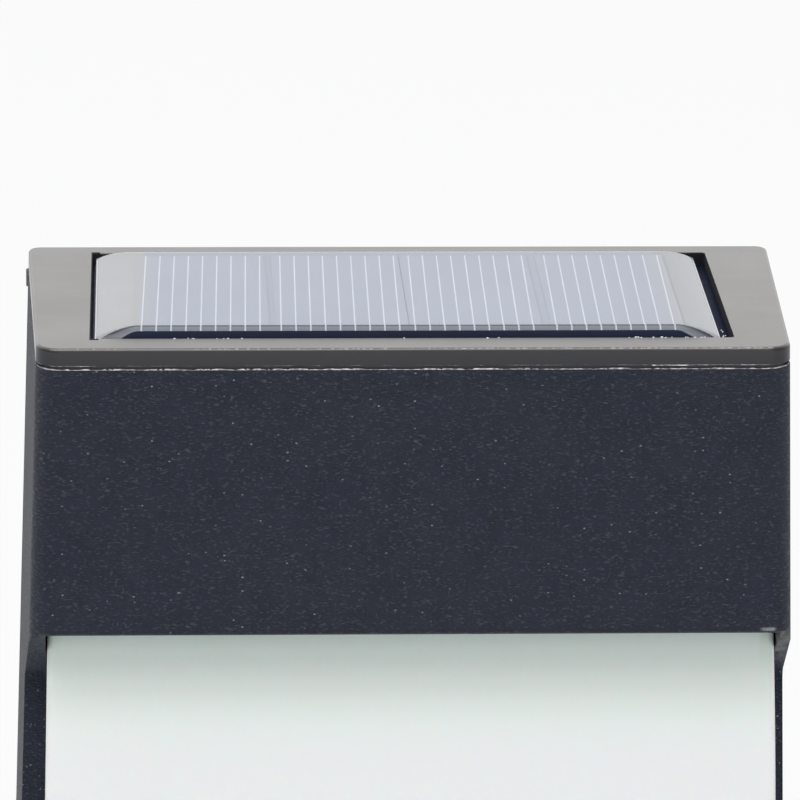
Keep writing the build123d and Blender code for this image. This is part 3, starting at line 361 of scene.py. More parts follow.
def lid_plastic():
    """The lid's smoother satin plastic: faint handling marks, a whitened front edge with a painted
    highlight, and a recess darkened with painted shade.
    """
    gloss = {"Specular_IOR_Level": 0.62, "Coat_Weight": 1.0, "Coat_Roughness": 0.24}
    material = new_finish("lid_plastic", (0.04, 0.039, 0.043), 0.32, **gloss)
    x, y, z = whereabouts(material)
    plain = place(material)
    patches = clouds(material, plain, 11)
    marks = spread(material, patches, 0.3, 0.7)
    at_rim = slope(material, y, lid_low.y + 3.4, lid_low.y + 2.2)
    rim = times(material, at_rim, slope(material, z, lid_high.z - 0.12, lid_high.z - 0.3))
    down = slope(material, z, lid_high.z - 2.0, lid_high.z - 0.3)
    recess = recess_shade(material, x, y, z)
    colour = paint(
        material,
        blend_colours(material, marks, (0.046, 0.034, 0.031), (0.058, 0.043, 0.04)),
        (rim, blend_colours(material, down, (0.003, 0.004, 0.009), (0.013, 0.012, 0.016))),
        (flecks(material, plain, 1.1, 0.08, 0.1), (0.4, 0.39, 0.39)),
        # Whitened wear with a painted edge highlight.
        (worn_and_lit_edge(material, x, y, z), (0.75, 0.72, 0.73)),
        (recess, (0.004, 0.0045, 0.01)),
    )
    feed(material, "Base Color", colour)
    bare = combine(material, "MAXIMUM", recess, times(material, rim, 0.75))
    feed(material, "Coat Weight", minus(material, 1.0, bare))
    satin = spread(material, patches, 0.3, 0.7, 0.28, 0.4)
    feed(material, "Roughness", combine(material, "MAXIMUM", satin, times(material, recess, 0.95)))
    feed(material, "Normal", dents(material, clouds(material, plain, 0.2), 0.02, 0.25))


def frosted_lens():
    """Milky lens: greenish under the head, greyer at mid height, with painted light on its side walls near
    the top and a painted highlight on its right edge.
    """
    milk = {"Subsurface_Weight": 0.25, "Subsurface_Scale": 1.2 * MM, "IOR": 1.49}
    material = new_finish("frosted_lens", (0.85, 0.9, 0.87), 0.42, **milk)
    x, _, z = whereabouts(material)
    plain = place(material)
    centred = minus(material, x, LENS_SHIFT * MM)
    side = combine(material, "ADD", combine(material, "ABSOLUTE", centred), times(material, z, LENS_FLARE))
    # Painted light on the side walls near the top, beside the head's shadow, darker on the right.
    wall_start = LENS_HALF_WIDTH - LENS_WALL + LENS_FLARE * HEAD_BOTTOM
    wall = slope(material, side, wall_start - 0.25, wall_start + 0.1)
    wall = times(material, wall, slope(material, z, 64, 73))
    to_right = slope(material, x, 0, 20)
    haze = clouds(material, plain, 14, 2.0)
    colour = paint(
        material,
        blend_colours(material, haze, (0.83, 0.975, 0.905), (0.85, 0.985, 0.915)),
        (slope(material, z, 56, 73.5, 1.0, 0.0), (0.865, 0.885, 0.89)),
        (within(material, z, 62.5, 67.5, 2.5), (0.805, 0.86, 0.825)),
        (wall, blend_colours(material, to_right, (0.82, 0.95, 0.88), (0.745, 0.86, 0.795))),
        # A painted highlight along the lens's right edge.
        (slope(material, centred, LENS_HALF_WIDTH - 0.3, LENS_HALF_WIDTH - 0.1), (0.9, 0.91, 0.95)),
    )
    feed(material, "Base Color", colour)
    feed(material, "Normal", dents(material, clouds(material, plain, 0.12, 2.0), 0.01, 0.2))


def finger_stripes(material, x, y):
    """1 where a silver line would run on over the cells' front edge, mirrored in the resin's roll."""
    lean = times(material, y, FINGER_SKEW)
    along = minus(material, x, lean, cells_low.x * MM)
    reach = 0.0
    steps = along
    for gap in CELL_GAPS:
        reach += cell_width + gap
        passed = slope(material, along, reach - gap, reach, 0.0, gap * MM)
        steps = minus(material, steps, passed)
    turn = combine(material, "FRACT", combine(material, "DIVIDE", steps, cell_width / FINGERS * MM))
    away = combine(material, "ABSOLUTE", minus(material, turn, 0.5))
    on_cells = within(material, x, cells_low.x, cells_high.x)
    return times(material, spread(material, away, 0.065, 0.035), on_cells)


def clear_resin():
    """Cast resin, clear over the cells; its rolled edges are painted opaque with painted shade, a painted
    reflection of the pale room, painted highlights and painted images of the silver lines.
    """
    clear_tint = (0.96, 0.97, 1.0)
    line = (0.55, 0.57, 0.65)
    material = new_finish("clear_resin", clear_tint, 0.03, Transmission_Weight=1.0, IOR=1.52)
    x, y, _ = whereabouts(material)
    centre = (resin_low.x + RESIN_INSET_LEFT + resin_high.x) / 2
    half = (resin_high.x - resin_low.x - RESIN_INSET_LEFT) / 2
    from_middle = combine(material, "ABSOLUTE", minus(material, x, centre * MM))
    end = slope(material, from_middle, half - DOME_ROLL_END, half)
    front = slope(material, y, resin_low.y, resin_low.y + DOME_ROLL_FRONT, 1.0, 0.0)
    back = slope(material, y, resin_high.y - DOME_ROLL_FRONT, resin_high.y)
    roll = minus(material, front, end)
    back_reflection = spread(material, minus(material, back, end), 0.25, 0.5)
    rim = within(material, from_middle, half - 0.32, half + 1, 0.06)
    side = within(material, from_middle, half - 0.1, half + 1, 0.03)
    stripes = finger_stripes(material, x, y)
    shaded = blend_colours(material, end, (0.185, 0.2, 0.24), (0.0, 0.0, 0.005))
    # The grey band is a painted reflection of the room, darker at the ends with painted shade; the dark
    # band and the dark side are painted shade; the pale back edge and end rim are painted highlights; the
    # line colour paints the silver lines' images.
    colour = paint(
        material,
        blend_colours(material, stripes, (0.04, 0.045, 0.065), line),
        (spread(material, roll, 0.19, 0.27), blend_colours(material, stripes, shaded, line)),
        (spread(material, roll, 0.6, 0.68), (0.008, 0.011, 0.026)),
        (back_reflection, (0.72, 0.74, 0.83)),
        (rim, (0.7, 0.72, 0.76)),
        (side, (0.005, 0.007, 0.03)),
    )
    clear = spread(material, roll, 0.05, 0.09, 1.0, 0.0)
    for cover, share in ((back_reflection, 0.85), (rim, 0.75), (side, 1.0)):
        left = minus(material, 1.0, times(material, cover, share))
        clear = times(material, clear, left)
    wholly_clear = combine(material, "GREATER_THAN", clear, 0.999)
    feed(material, "Base Color", blend_colours(material, wholly_clear, colour, clear_tint))
    feed(material, "Transmission Weight", clear)
    matt = spread(material, roll, 0.09, 0.3, 0.03, 0.35)
    feed(material, "Roughness", combine(material, "MAXIMUM", matt, times(material, side, 0.8)))
    ripple = clouds(material, place(material, (0.4, 1.0, 1.0)), 9, 1.0)
    feed(material, "Normal", dents(material, ripple, 0.05, 0.2))
    rays = add(material, "ShaderNodeLightPath").outputs
    lets_through = combine(material, "MAXIMUM", rays["Is Shadow Ray"], rays["Is Diffuse Ray"])
    pane = add(material, "ShaderNodeBsdfTransparent", {"Color": (*clear_tint, 1.0)})
    overlay(material, lets_through, pane)


def solar_cell():
    """Slate-lilac silicon with a soft metallic gloss, fading into the pale board at both ends; its pale
    colour is partly a painted reflection of the pale room on dark cells.
    """
    material = new_finish("solar_cell", (0.34, 0.37, 0.46), 0.32, Metallic=0.15)
    x, _, _ = whereabouts(material)
    grains = clouds(material, place(material, (1.0, 0.5, 1.0)), 6, 2.0)
    # The pale lilac partly paints the room's reflection on the cells.
    blue = blend_colours(material, grains, (0.345, 0.375, 0.465), (0.395, 0.43, 0.525))
    middle = within(material, x, cells_low.x + 1.6, cells_high.x - 1.6, 1.6)
    feed(material, "Base Color", blend_colours(material, middle, (0.42, 0.43, 0.45), blue))


def silver_line():
    """Printed silver fingers."""
    material = new_finish("silver_line", (0.7, 0.72, 0.8), 0.4)
    wear = clouds(material, place(material, (1.0, 0.2, 1.0)), 1.5, 2.0)
    feed(material, "Base Color", blend_colours(material, wear, (0.6, 0.63, 0.72), (0.8, 0.82, 0.88)))


def panel_board():
    """Pale solder mask of the panel's board, tinted beside the cells and dark along its edges."""
    material = new_finish("panel_board", (0.43, 0.44, 0.44), 0.5)
    x, y, _ = whereabouts(material)
    mottle = clouds(material, place(material), 5)
    colour = paint(
        material,
        blend_colours(material, mottle, (0.39, 0.4, 0.4), (0.45, 0.455, 0.455)),
        (slope(material, x, 0, 20), (0.35, 0.36, 0.38)),
        (within(material, x, cells_low.x + 1, cells_high.x - 1, 0.5), (0.35, 0.38, 0.46)),
    )
    edge = 0.12  # how far in the dark edge reaches
    across = within(material, x, board_low.x + edge, board_high.x - edge, 0.03)
    deep = within(material, y, board_low.y + edge, board_high.y - edge, 0.03)
    inside = times(material, across, deep)
    feed(material, "Base Color", blend_colours(material, inside, (0.008, 0.009, 0.02), colour))


def battery_wrap():
    """The cell's bare shrink sleeve: green, with a pale band at the nub's end."""
    material = new_finish("battery_wrap", (0.12, 0.33, 0.24), 0.25)
    x, _, _ = whereabouts(material)
    mottle = clouds(material, place(material), 10)
    body = blend_colours(material, mottle, (0.105, 0.29, 0.21), (0.13, 0.36, 0.26))
    feed(material, "Base Color", paint(material, body, (within(material, x, 12, 30), (0.78, 0.78, 0.74))))


def flash_and_highlight():
    """Torn moulding flash: whitened, uneven plastic; on the lid's rim its whiteness is a painted highlight.
    """
    material = new_finish("flash_and_highlight", (0.5, 0.47, 0.48), 0.35)
    torn = spread(material, clouds(material, place(material), 0.6, 4.0), 0.42, 0.62)
    feed(material, "Base Color", blend_colours(material, torn, (0.24, 0.225, 0.24), (0.8, 0.75, 0.78)))


def plain_with_mottle(name, colour, roughness, patch, dent, **fixed):
    """A simple moulded or coated finish: one colour with slight mottling and a fine skin."""
    material = new_finish(name, colour, roughness, **fixed)
    where = place(material)
    mottle = clouds(material, where, patch)
    darker = tuple(0.86 * c for c in colour)
    lighter = tuple(min(1.0, 1.1 * c) for c in colour)
    feed(material, "Base Color", blend_colours(material, mottle, darker, lighter))
    satin = spread(material, mottle, 0.3, 0.7, roughness * 0.9, min(1.0, roughness * 1.1))
    feed(material, "Roughness", satin)
    feed(material, "Normal", dents(material, clouds(material, where, patch / 12), dent, 0.4))


lid_plastic()
shell_plastic()
clear_resin()
solar_cell()
panel_board()
frosted_lens()
battery_wrap()
silver_line()
flash_and_highlight()
# Name, colour, roughness, size of patches, depth of skin and metal.
for name, colour, roughness, patch, dent, metal in (
    ("pale_speck", (0.93, 0.93, 0.95), 0.25, 0.4, 0.02, 0),
    ("seal_rubber", (0.13, 0.13, 0.145), 0.7, 4, 0.03, 0),
    ("screw_steel", (0.62, 0.62, 0.63), 0.32, 2, 0.01, 1),
    ("black_plastic", (0.03, 0.03, 0.032), 0.45, 5, 0.02, 0),
    ("white_plastic", (0.86, 0.86, 0.84), 0.35, 12, 0.02, 0),
    ("button_plastic", (0.11, 0.11, 0.115), 0.4, 4, 0.02, 0),
    ("foam_tape", (0.74, 0.74, 0.72), 0.9, 1.5, 0.1, 0),
    ("board_green", (0.03, 0.2, 0.09), 0.3, 3, 0.01, 0),
    ("board_white", (0.84, 0.85, 0.84), 0.3, 6, 0.01, 0),
    ("led_white", (0.92, 0.91, 0.82), 0.35, 2, 0.01, 0),
    ("ferrite", (0.07, 0.07, 0.075), 0.6, 1, 0.04, 0),
    ("nickel_plate", (0.74, 0.73, 0.69), 0.22, 2, 0.01, 1),
    ("lead_red", (0.5, 0.03, 0.03), 0.4, 3, 0.01, 0),
    ("lead_black", (0.025, 0.025, 0.026), 0.4, 3, 0.01, 0),
    ("lead_white", (0.78, 0.78, 0.76), 0.4, 3, 0.01, 0),
    ("phosphor", (0.85, 0.66, 0.1), 0.3, 1, 0.01, 0),
    ("solder", (0.7, 0.7, 0.72), 0.3, 1, 0.03, 1),
    ("gilt_pad", (0.8, 0.62, 0.3), 0.3, 1, 0.01, 1),
    ("copper_wire", (0.72, 0.3, 0.12), 0.3, 1, 0.01, 0.8),
    ("capacitor_sleeve", (0.02, 0.03, 0.07), 0.35, 2, 0.01, 0),
):
    plain_with_mottle(name, colour, roughness, patch, dent, Metallic=metal)
# Painted shade for the gap round the panel and the foot of the resin's front roll.
plain_with_mottle("panel_gap_shade", (0.009, 0.014, 0.036), 0.6, 2, 0.03, Specular_IOR_Level=0.1)

for finish, covered in {
    "lid_plastic": ["top_lid"],
    "shell_plastic": ["housing", "back_cover"],
    "clear_resin": ["panel_resin"],
    "solar_cell": ["solar_cells"],
    "panel_board": ["panel_board"],
    "frosted_lens": ["diffuser_lens"],
    "seal_rubber": ["lid_seal", "lens_seal", "back_seal", "button_seal"],
    "screw_steel": ["lid_screws", "chassis_screws", "light_board_screws", "control_board_screws"]
    + ["holder_screws", "back_screws"],
    "foam_tape": ["panel_tape"],
    "white_plastic": ["chassis"],
    "board_white": ["light_board"],
    "led_white": ["leds"],
    "lead_white": ["light_leads"],
    "board_green": ["control_board"],
    "black_plastic": ["driver_chip", "switch_body", "battery_holder"],
    "ferrite": ["choke"],
    "button_plastic": ["power_button"],
    "battery_wrap": ["battery_cell"],
    "nickel_plate": ["battery_spring", "battery_contact"],
    "lead_red": ["panel_lead_red", "battery_lead_red"],
    "lead_black": ["panel_lead_black", "battery_lead_black"],
}.items():
    for name in covered:
        mesh = nodes[name].data
        mesh.materials.clear()
        mesh.materials.append(finishes[finish])


# ---- making pieces ----
# Pieces are modelled in millimetres, in the row frame.


def put_in_scene(name, data):
    """A new object of the scene."""
    item = bpy.data.objects.new(name, data)
    bpy.context.scene.collection.objects.link(item)
    return item


def finish_piece(name, bm, slot, finish=None, replaces=None, crease=35):
    """Turn a bmesh into a piece of the case, in its slot's own finish or another."""
    bmesh.ops.recalc_face_normals(bm, faces=bm.faces)
    bmesh.ops.scale(bm, vec=(MM, MM, MM), verts=bm.verts)
    mesh = bpy.data.meshes.new(name)
    bm.to_mesh(mesh)
    bm.free()
    mesh.shade_smooth()
    mesh.set_sharp_from_angle(angle=math.radians(crease))
    mesh.materials.append(finishes[finish or slot])
    piece = put_in_scene(name, mesh)
    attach(piece, "case")
    if replaces:
        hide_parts(replaces)


def verts_of(items):
    """Only the vertices of an operator's result."""
    return [item for item in items if isinstance(item, bmesh.types.BMVert)]


def edges_of(items):
    """Only the edges of an operator's result."""
    return [item for item in items if isinstance(item, bmesh.types.BMEdge)]


def linked_verts(seeds):
    """Every vertex joined to these."""
    found = set(seeds)
    front = list(seeds)
    while front:
        vert = front.pop()
        for edge in vert.link_edges:
            other = edge.other_vert(vert)
            if other not in found:
                found.add(other)
                front.append(other)
    return list(found)


def facing(position, way):
    """Stand a turned form at a point, with its Z along a direction."""
    return Matrix.Translation(position) @ Vector(way).to_track_quat("Z", "Y").to_matrix().to_4x4()


def turned(bm, profile, sides, stand, ring=False):
    """A turned form: a profile of (radius, height) spun round Z, closed on itself where it is a ring."""
    verts = [bm.verts.new((radius, 0, height)) for radius, height in profile]
    pairs = list(zip(verts, verts[1:])) + ([(verts[-1], verts[0])] if ring else [])
    edges = [bm.edges.new(pair) for pair in pairs]
    axis = {"cent": (0, 0, 0), "axis": (0, 0, 1)}
    bmesh.ops.spin(bm, geom=verts + edges, **axis, angle=2 * math.pi, steps=sides, use_merge=True)
    whole = linked_verts([vert for vert in verts if vert.is_valid])
    bmesh.ops.remove_doubles(bm, verts=whole, dist=0.0005)
    whole = linked_verts([vert for vert in whole if vert.is_valid])
    bmesh.ops.transform(bm, matrix=stand, verts=whole)


def wound(bm, section, pitch, turns, stand, steps=16):
    """A closed section of (radius, height) points wound up round Z."""
    corners = [bm.verts.new((radius, 0, height)) for radius, height in section]
    start = bm.faces.new(corners)
    bmesh.ops.spin(
        bm,
        geom=corners + list(start.edges) + [start],
        cent=(0, 0, 0),
        axis=(0, 0, 1),
        dvec=(0, 0, pitch / steps),
        angle=2 * math.pi * turns,
        steps=int(steps * turns),
        use_merge=False,
    )
    bmesh.ops.transform(bm, matrix=stand, verts=linked_verts(corners))


def round_edges(bm, edges, offset, segments):
    """Bevel these edges."""
    shape = {"affect": "EDGES", "profile": 0.5, "material": -1, "clamp_overlap": True}
    bmesh.ops.bevel(bm, geom=edges, offset=offset, segments=segments, **shape)


def slab(bm, low, high, edge=0.0):
    """A block between two corners with its edges rounded a little."""
    low, high = Vector(low), Vector(high)
    made = bmesh.ops.create_cube(bm, size=1.0)["verts"]
    bmesh.ops.scale(bm, vec=high - low, verts=made)
    bmesh.ops.translate(bm, vec=(low + high) / 2, verts=made)
    if edge > 0:
        round_edges(bm, list({item for vert in made for item in vert.link_edges}), edge, 2)


def slab_beside(bm, middle, side, reaches, low, high, edge):
    """A block on one side of an upright middle line, between two reaches and two (y, z) corners."""
    start, stop = sorted(middle + side * reach for reach in reaches)
    slab(bm, (start, *low), (stop, *high), edge)


def mesh_islands(piece):
    """The separate solids of a node, each as its points in millimetres, in the order of their middles."""
    bm = bmesh.new()
    bm.from_mesh(piece.data)
    bmesh.ops.remove_doubles(bm, verts=bm.verts, dist=1e-6)
    left = set(bm.verts)
    islands = []
    while left:
        whole = linked_verts([next(iter(left))])
        islands.append([vert.co / MM for vert in whole])
        left -= set(whole)
    bm.free()

    def middle(points):
        return tuple(round(part, 3) for part in sum(points, Vector()) / len(points))

    return sorted(islands, key=middle)


# ---- the panel ----


def roll_drop(inward, roll):
    """How far the resin's top has fallen at a distance inwards from an edge."""
    if inward >= roll:
        return 0.0
    radius = (roll**2 + DOME_DROP**2) / (2 * DOME_DROP)
    return radius - math.sqrt(radius**2 - (roll - inward) ** 2)


def dome_drop(from_end, from_front):
    """How far the resin's top has fallen at distances from an end and from its front or back edge."""
    drops = roll_drop(from_end, DOME_ROLL_END), roll_drop(from_front, DOME_ROLL_FRONT)
    return min(sum(drop**3 for drop in drops) ** (1 / 3), CORNER_DROP)


def make_resin():
    """The cast resin: a clear slab whose top falls gently to its edges, sunk a hair into the board."""
    bm = bmesh.new()
    bmesh.ops.create_grid(bm, x_segments=120, y_segments=56, size=1.0)
    low = resin_low + Vector((RESIN_INSET_LEFT, 0.02, 0))
    high = resin_high - Vector((0.02, 0.02, 0))
    middle = (low + high) / 2
    half = (high - low) / 2
    for vert in bm.verts:
        across = math.sin(vert.co.x * math.pi / 2)
        along = math.sin(vert.co.y * math.pi / 2)
        drop = dome_drop(half.x * (1 - abs(across)), half.y * (1 - abs(along)))
        vert.co = (middle.x + half.x * across, middle.y + half.y * along, resin_high.z - drop)
    rim = [edge for edge in bm.edges if edge.is_boundary]
    made = bmesh.ops.extrude_edge_only(bm, edges=rim)["geom"]
    for vert in verts_of(made):
        vert.co.z = board_high.z - 0.04
    bmesh.ops.contextual_create(bm, geom=[edge for edge in edges_of(made) if edge.is_boundary])
    corners = []
    for edge in bm.edges:
        rise = abs(edge.verts[0].co.z - edge.verts[1].co.z)
        if rise > 0.3 and edge.calc_face_angle(0) > 1:
            corners.append(edge)
    round_edges(bm, corners, 0.8, 4)
    finish_piece("cast_resin", bm, "clear_resin", replaces="panel_resin", crease=50)


def make_fingers():
    """The printed silver lines of each cell, slightly out of square as in the photograph."""
    bm = bmesh.new()
    pitch = cell_width / FINGERS
    for cell in range(CELLS):
        left = cells_low.x + cell * cell_width + sum(CELL_GAPS[:cell])
        for line in range(FINGERS):
            x = left + pitch * (line + 0.5)
            low = (x - FINGER_WIDTH / 2, cells_low.y + 0.25, cells_high.z - 0.01)
            high = (x + FINGER_WIDTH / 2, cells_high.y - 0.25, cells_high.z + 0.03)
            slab(bm, low, high)
    for vert in bm.verts:
        vert.co.x += FINGER_SKEW * vert.co.y
    finish_piece("cell_fingers", bm, "nickel_plate", "silver_line")


def make_gap_shade():
    """Painted shade: a dark fill in the gap round the panel, climbing the resin's roll along its front."""
    bm = bmesh.new()
    bottom = lid_high.z - RECESS_FLOOR + 0.02
    low = Vector((-RECESS_HALF_WIDTH, lid_low.y + RECESS_FRONT, bottom))
    high = Vector((RECESS_HALF_WIDTH, lid_low.y + RECESS_BACK, board_high.z - 0.35))
    slab(bm, low, (board_low.x, high.y, high.z))
    slab(bm, (board_high.x, low.y, bottom), (high.x, high.y, high.z - 0.3), 0.15)
    slab(bm, (board_low.x, low.y, bottom), (board_high.x, board_low.y, high.z))
    slab(bm, (board_low.x, board_high.y, bottom), (board_high.x, high.y, high.z))
    made = bmesh.ops.create_grid(bm, x_segments=130, y_segments=8, size=1.0)["verts"]
    half = (resin_high.x - resin_low.x) / 2 - 0.1
    for vert in made:
        x = half * vert.co.x
        up = (vert.co.y + 1) / 2
        end = max(0.0, 1 - (half - abs(x)) / DOME_ROLL_END)
        climb = max(0.0, DOME_ROLL_FRONT * (SHADE_FILL_SHARE - end))
        inward = climb * up
        bulge = 0.07 * math.sin(math.pi * min(1, up * 1.1)) * min(1, climb)
        y = resin_low.y + inward - bulge - 0.01
        z = resin_high.z - dome_drop(half - abs(x), inward) + bulge
        vert.co = ((resin_low.x + resin_high.x) / 2 + x, y, z)
    foot = []
    for edge in {edge for vert in made for edge in vert.link_edges}:
        if edge.is_boundary and all(abs(vert.co.y - resin_low.y) < 0.05 for vert in edge.verts):
            foot.append(edge)
    skirt = verts_of(bmesh.ops.extrude_edge_only(bm, edges=foot)["geom"])
    for vert in skirt:
        vert.co.y = resin_low.y - 0.5
        vert.co.z = lid_high.z - 0.75
    faces = list({face for vert in made + skirt for face in vert.link_faces})
    bmesh.ops.recalc_face_normals(bm, faces=faces)
    bmesh.ops.solidify(bm, geom=faces, thickness=0.04)
    finish_piece("panel_gap_shade", bm, "seal_rubber", "panel_gap_shade", crease=50)


def make_pale_specks():
    """Small pale specks on the lip before the panel and in the gap at its right."""
    chance = random.Random(21)
    bm = bmesh.new()
    lip = lid_low.y + RECESS_FRONT - 0.12
    spots = []
    for low, high, count in ((-30.2, -19.5, 9), (27.0, 37.0, 15), (-3.0, 12.0, 3)):
        for _ in range(count):
            spots.append((chance.uniform(low, high), lip + chance.uniform(-0.1, 0.16), lid_high.z + 0.03))
    for _ in range(6):
        right = resin_high.x + chance.uniform(0.15, 0.7)
        spots.append((right, lip + chance.uniform(0.4, 5.0), lid_high.z - chance.uniform(0.2, 0.8)))
    for spot in spots:
        size = chance.uniform(0.07, 0.15)
        made = bmesh.ops.create_icosphere(bm, subdivisions=2, radius=size)["verts"]
        stretch = (chance.uniform(0.8, 1.5), chance.uniform(0.7, 1.0), chance.uniform(0.6, 1.0))
        bmesh.ops.scale(bm, vec=stretch, verts=made)
        for vert in made:
            vert.co += Vector([chance.gauss(0, 0.1 * size) for _ in range(3)])
        bmesh.ops.translate(bm, vec=spot, verts=made)
    finish_piece("pale_specks", bm, "clear_resin", "pale_speck")


# ---- the torn edges, and a painted highlight on the lid's rim ----


def rim_path(z, inset, side_run, step):
    """Points along the case's front edge: up one side, round both corners and back down the other."""
    front = lid_low.y + inset
    half = half_width(front, z) - inset
    corner = FRONT_CORNER - inset
    left = []
    for number in range(int(side_run / step)):
        y = front + corner + side_run - number * step
        left.append(Vector((-half - SIDE_DRAFT * (y - front), y, z)))
    turns = 12
    for number in range(turns):
        angle = math.pi / 2 * number / turns
        x = -half + corner * (1 - math.cos(angle))
        left.append(Vector((x, front + corner * (1 - math.sin(angle)), z)))
    right = [Vector((-point.x, point.y, z)) for point in reversed(left)]
    length = 2 * (half - corner)
    count = int(length / step)
    straight = [Vector((-half + corner + length * number / count, front, z)) for number in range(count + 1)]
    return left + straight + right


def ragged_fin(bm, path, heights, thickness, way):
    """A thin torn fin along a path, standing up or hanging down by its own height at each point."""
    verts = [bm.verts.new(point) for point in path]
    edges = [bm.edges.new(pair) for pair in zip(verts, verts[1:])]
    made = bmesh.ops.extrude_edge_only(bm, edges=edges)["geom"]
    for vert in verts_of(made):
        number = min(range(len(path)), key=lambda item: (path[item] - vert.co).length_squared)
        vert.co.z += way * heights[number]
    faces = [item for item in made if isinstance(item, bmesh.types.BMFace)]
    bmesh.ops.recalc_face_normals(bm, faces=faces)
    bmesh.ops.solidify(bm, geom=faces, thickness=thickness)


def wandering(count, chance, low, high, step):
    """Heights that wander between two limits and drop to almost nothing here and there."""
    value = (low + high) / 2
    heights = []
    for _ in range(count):
        value = min(high, max(low, value + chance.uniform(-step, step)))
        heights.append(0.6 * low if chance.random() < 0.07 else value)
    return heights


def make_seam_flash():
    """Torn moulding flash along the housing's top edge, and a pale torn fin along the lid's rim, most near
    both corners, that paints the highlight of the lid's lower edge.
    """
    chance = random.Random(7)
    bm = bmesh.new()
    path = rim_path(shell_high.z - 0.05, 0.03, 4.0, 0.22)
    path = [point + Vector((0, abs(chance.gauss(0, 0.015)), 0)) for point in path]
    heights = wandering(len(path), chance, 0.12, 0.25, 0.06)
    ragged_fin(bm, path, heights, 0.05, 1)
    finish_piece("seam_flash", bm, "shell_plastic", "flash_and_highlight", crease=20)
    # A painted highlight: a pale fin along the lid's lower edge, where that edge catches the light.
    bm = bmesh.new()
    path = rim_path(shell_high.z + 0.62, 0.03, 3.0, 0.22)
    heights = wandering(len(path), chance, 0.05, 0.17, 0.06)
    corner_points = 46
    for number in range(corner_points, len(path) - 2 * corner_points):
        heights[number] *= 0.35
    ragged_fin(bm, path, heights, 0.05, -1)
    finish_piece("lid_edge_highlight", bm, "lid_plastic", "flash_and_highlight", crease=20)


# ---- screws and inside ----


def screw_heads(name, way):
    """Where each screw of a node starts: the middle of the outer face of its head."""
    starts = []
    for island in mesh_islands(nodes[name]):
        low = Vector([min(point[axis] for point in island) for axis in range(3)])
        high = Vector([max(point[axis] for point in island) for axis in range(3)])
        reach = (high - low).dot(Vector([abs(part) for part in way])) / 2
        starts.append((low + high) / 2 - way * reach)
    return starts


def make_threads():
    """A thread on every screw: a ridge wound along its shank between two depths below its head."""
    core = 1.08
    pitch = 0.8
    ridge = ((core - 0.05, -0.24), (core + 0.28, 0), (core - 0.05, 0.24))
    for name, way, start, end in (
        ("lid_screw", (0, 0, 1), 1.4, 4.6),
        ("chassis_screw", (0, -1, 0), 1.6, 5.4),
        ("light_board_screw", (0, 1, 0), 1.3, 4.0),
        ("control_board_screw", (0, -1, 0), 1.8, 4.6),
        ("holder_screw", (0, -1, 0), 1.6, 4.2),
        ("back_screw", (0, -1, 0), 2.2, 9.6),
    ):
        way = Vector(way)
        bm = bmesh.new()
        for head in screw_heads(name + "s", way):
            wound(bm, ridge, pitch, (end - start) / pitch, facing(head + way * start, way))
        finish_piece(name + "_threads", bm, "screw_steel", crease=25)


def make_light_fills():
    """Yellowish resin in each light's cup, and its terminals at both sides."""
    low, high = box_mm("leds")
    z = (low.z + high.z) / 2
    cup = ((0, 0.85), (2.07, 0.85), (2.07, 0.1), (1.7, 0.17), (1.0, 0.2), (0, 0.21))
    reaches = (LIGHT_SIZE / 2 - 0.1, LIGHT_SIZE / 2 + 0.45)
    fills = bmesh.new()
    terminals = bmesh.new()
    for number in range(LIGHTS):
        x = low.x + LIGHT_SIZE / 2 + number * (high.x - low.x - LIGHT_SIZE) / (LIGHTS - 1)
        turned(fills, cup, 28, facing((x, low.y, z), (0, 1, 0)))
        for side in (-1, 1):
            for foot in (z - 1.45, z + 0.25):
                near, far = (high.y - 0.3, foot), (high.y - 0.02, foot + 1.2)
                slab_beside(terminals, x, side, reaches, near, far, 0.06)
    finish_piece("light_fills", fills, "led_white", "phosphor")
    finish_piece("light_terminals", terminals, "nickel_plate", "solder")


def make_chip():
    """The driver chip: a bevelled body and eight bent legs."""
    low, high = box_mm("driver_chip")
    middle = (low + high) / 2
    body = bmesh.new()
    near = (middle.x - CHIP_HALF_WIDTH, low.y + 0.15, low.z + 0.05)
    far = (middle.x + CHIP_HALF_WIDTH, high.y, high.z - 0.05)
    slab(body, near, far, 0.14)
    finish_piece("chip_body", body, "black_plastic", replaces="driver_chip")
    legs = bmesh.new()
    shoulder, shin, foot = ((1.9, 2.5), 0.8, 0.98), ((2.34, 2.52), 0.0, 0.98), ((2.34, 3.0), 0.0, 0.18)
    for side in (-1, 1):
        for number in range(CHIP_LEGS):
            z = middle.z + (number - (CHIP_LEGS - 1) / 2) * CHIP_LEG_PITCH
            for reaches, below, above in (shoulder, shin, foot):
                near, far = (low.y + below, z - 0.21), (low.y + above, z + 0.21)
                slab_beside(legs, middle.x, side, reaches, near, far, 0.03)
    finish_piece("chip_legs", legs, "nickel_plate", "solder")


def make_choke():
    """The choke: a waisted ferrite drum wound with enamelled copper."""
    low, high = box_mm("choke")
    middle = (low + high) / 2
    radius = (high.x - low.x) / 2
    length = high.y - low.y
    stand = facing((middle.x, low.y, middle.z), (0, 1, 0))
    drum = [(0, 0), (radius - 0.1, 0), (radius, 0.1), (radius, 0.9), (1.7, 1.1)]
    drum += [(reach, length - height) for reach, height in reversed(drum)]
    bm = bmesh.new()
    turned(bm, drum, 40, stand)
    finish_piece("choke_drum", bm, "ferrite", replaces="choke")
    bm = bmesh.new()
    pitch = 2.05 * WIRE_RADIUS
    for layer, turns in ((1.95, 6.5), (2.32, 5.5)):
        angles = [math.radians(60 * corner) for corner in range(6)]
        section = [(layer + WIRE_RADIUS * math.cos(a), WIRE_RADIUS * math.sin(a)) for a in angles]
        lift = Matrix.Translation((0, 0, (length - pitch * turns) / 2))
        wound(bm, section, pitch, turns, stand @ lift, 32)
    finish_piece("choke_winding", bm, "nickel_plate", "copper_wire")


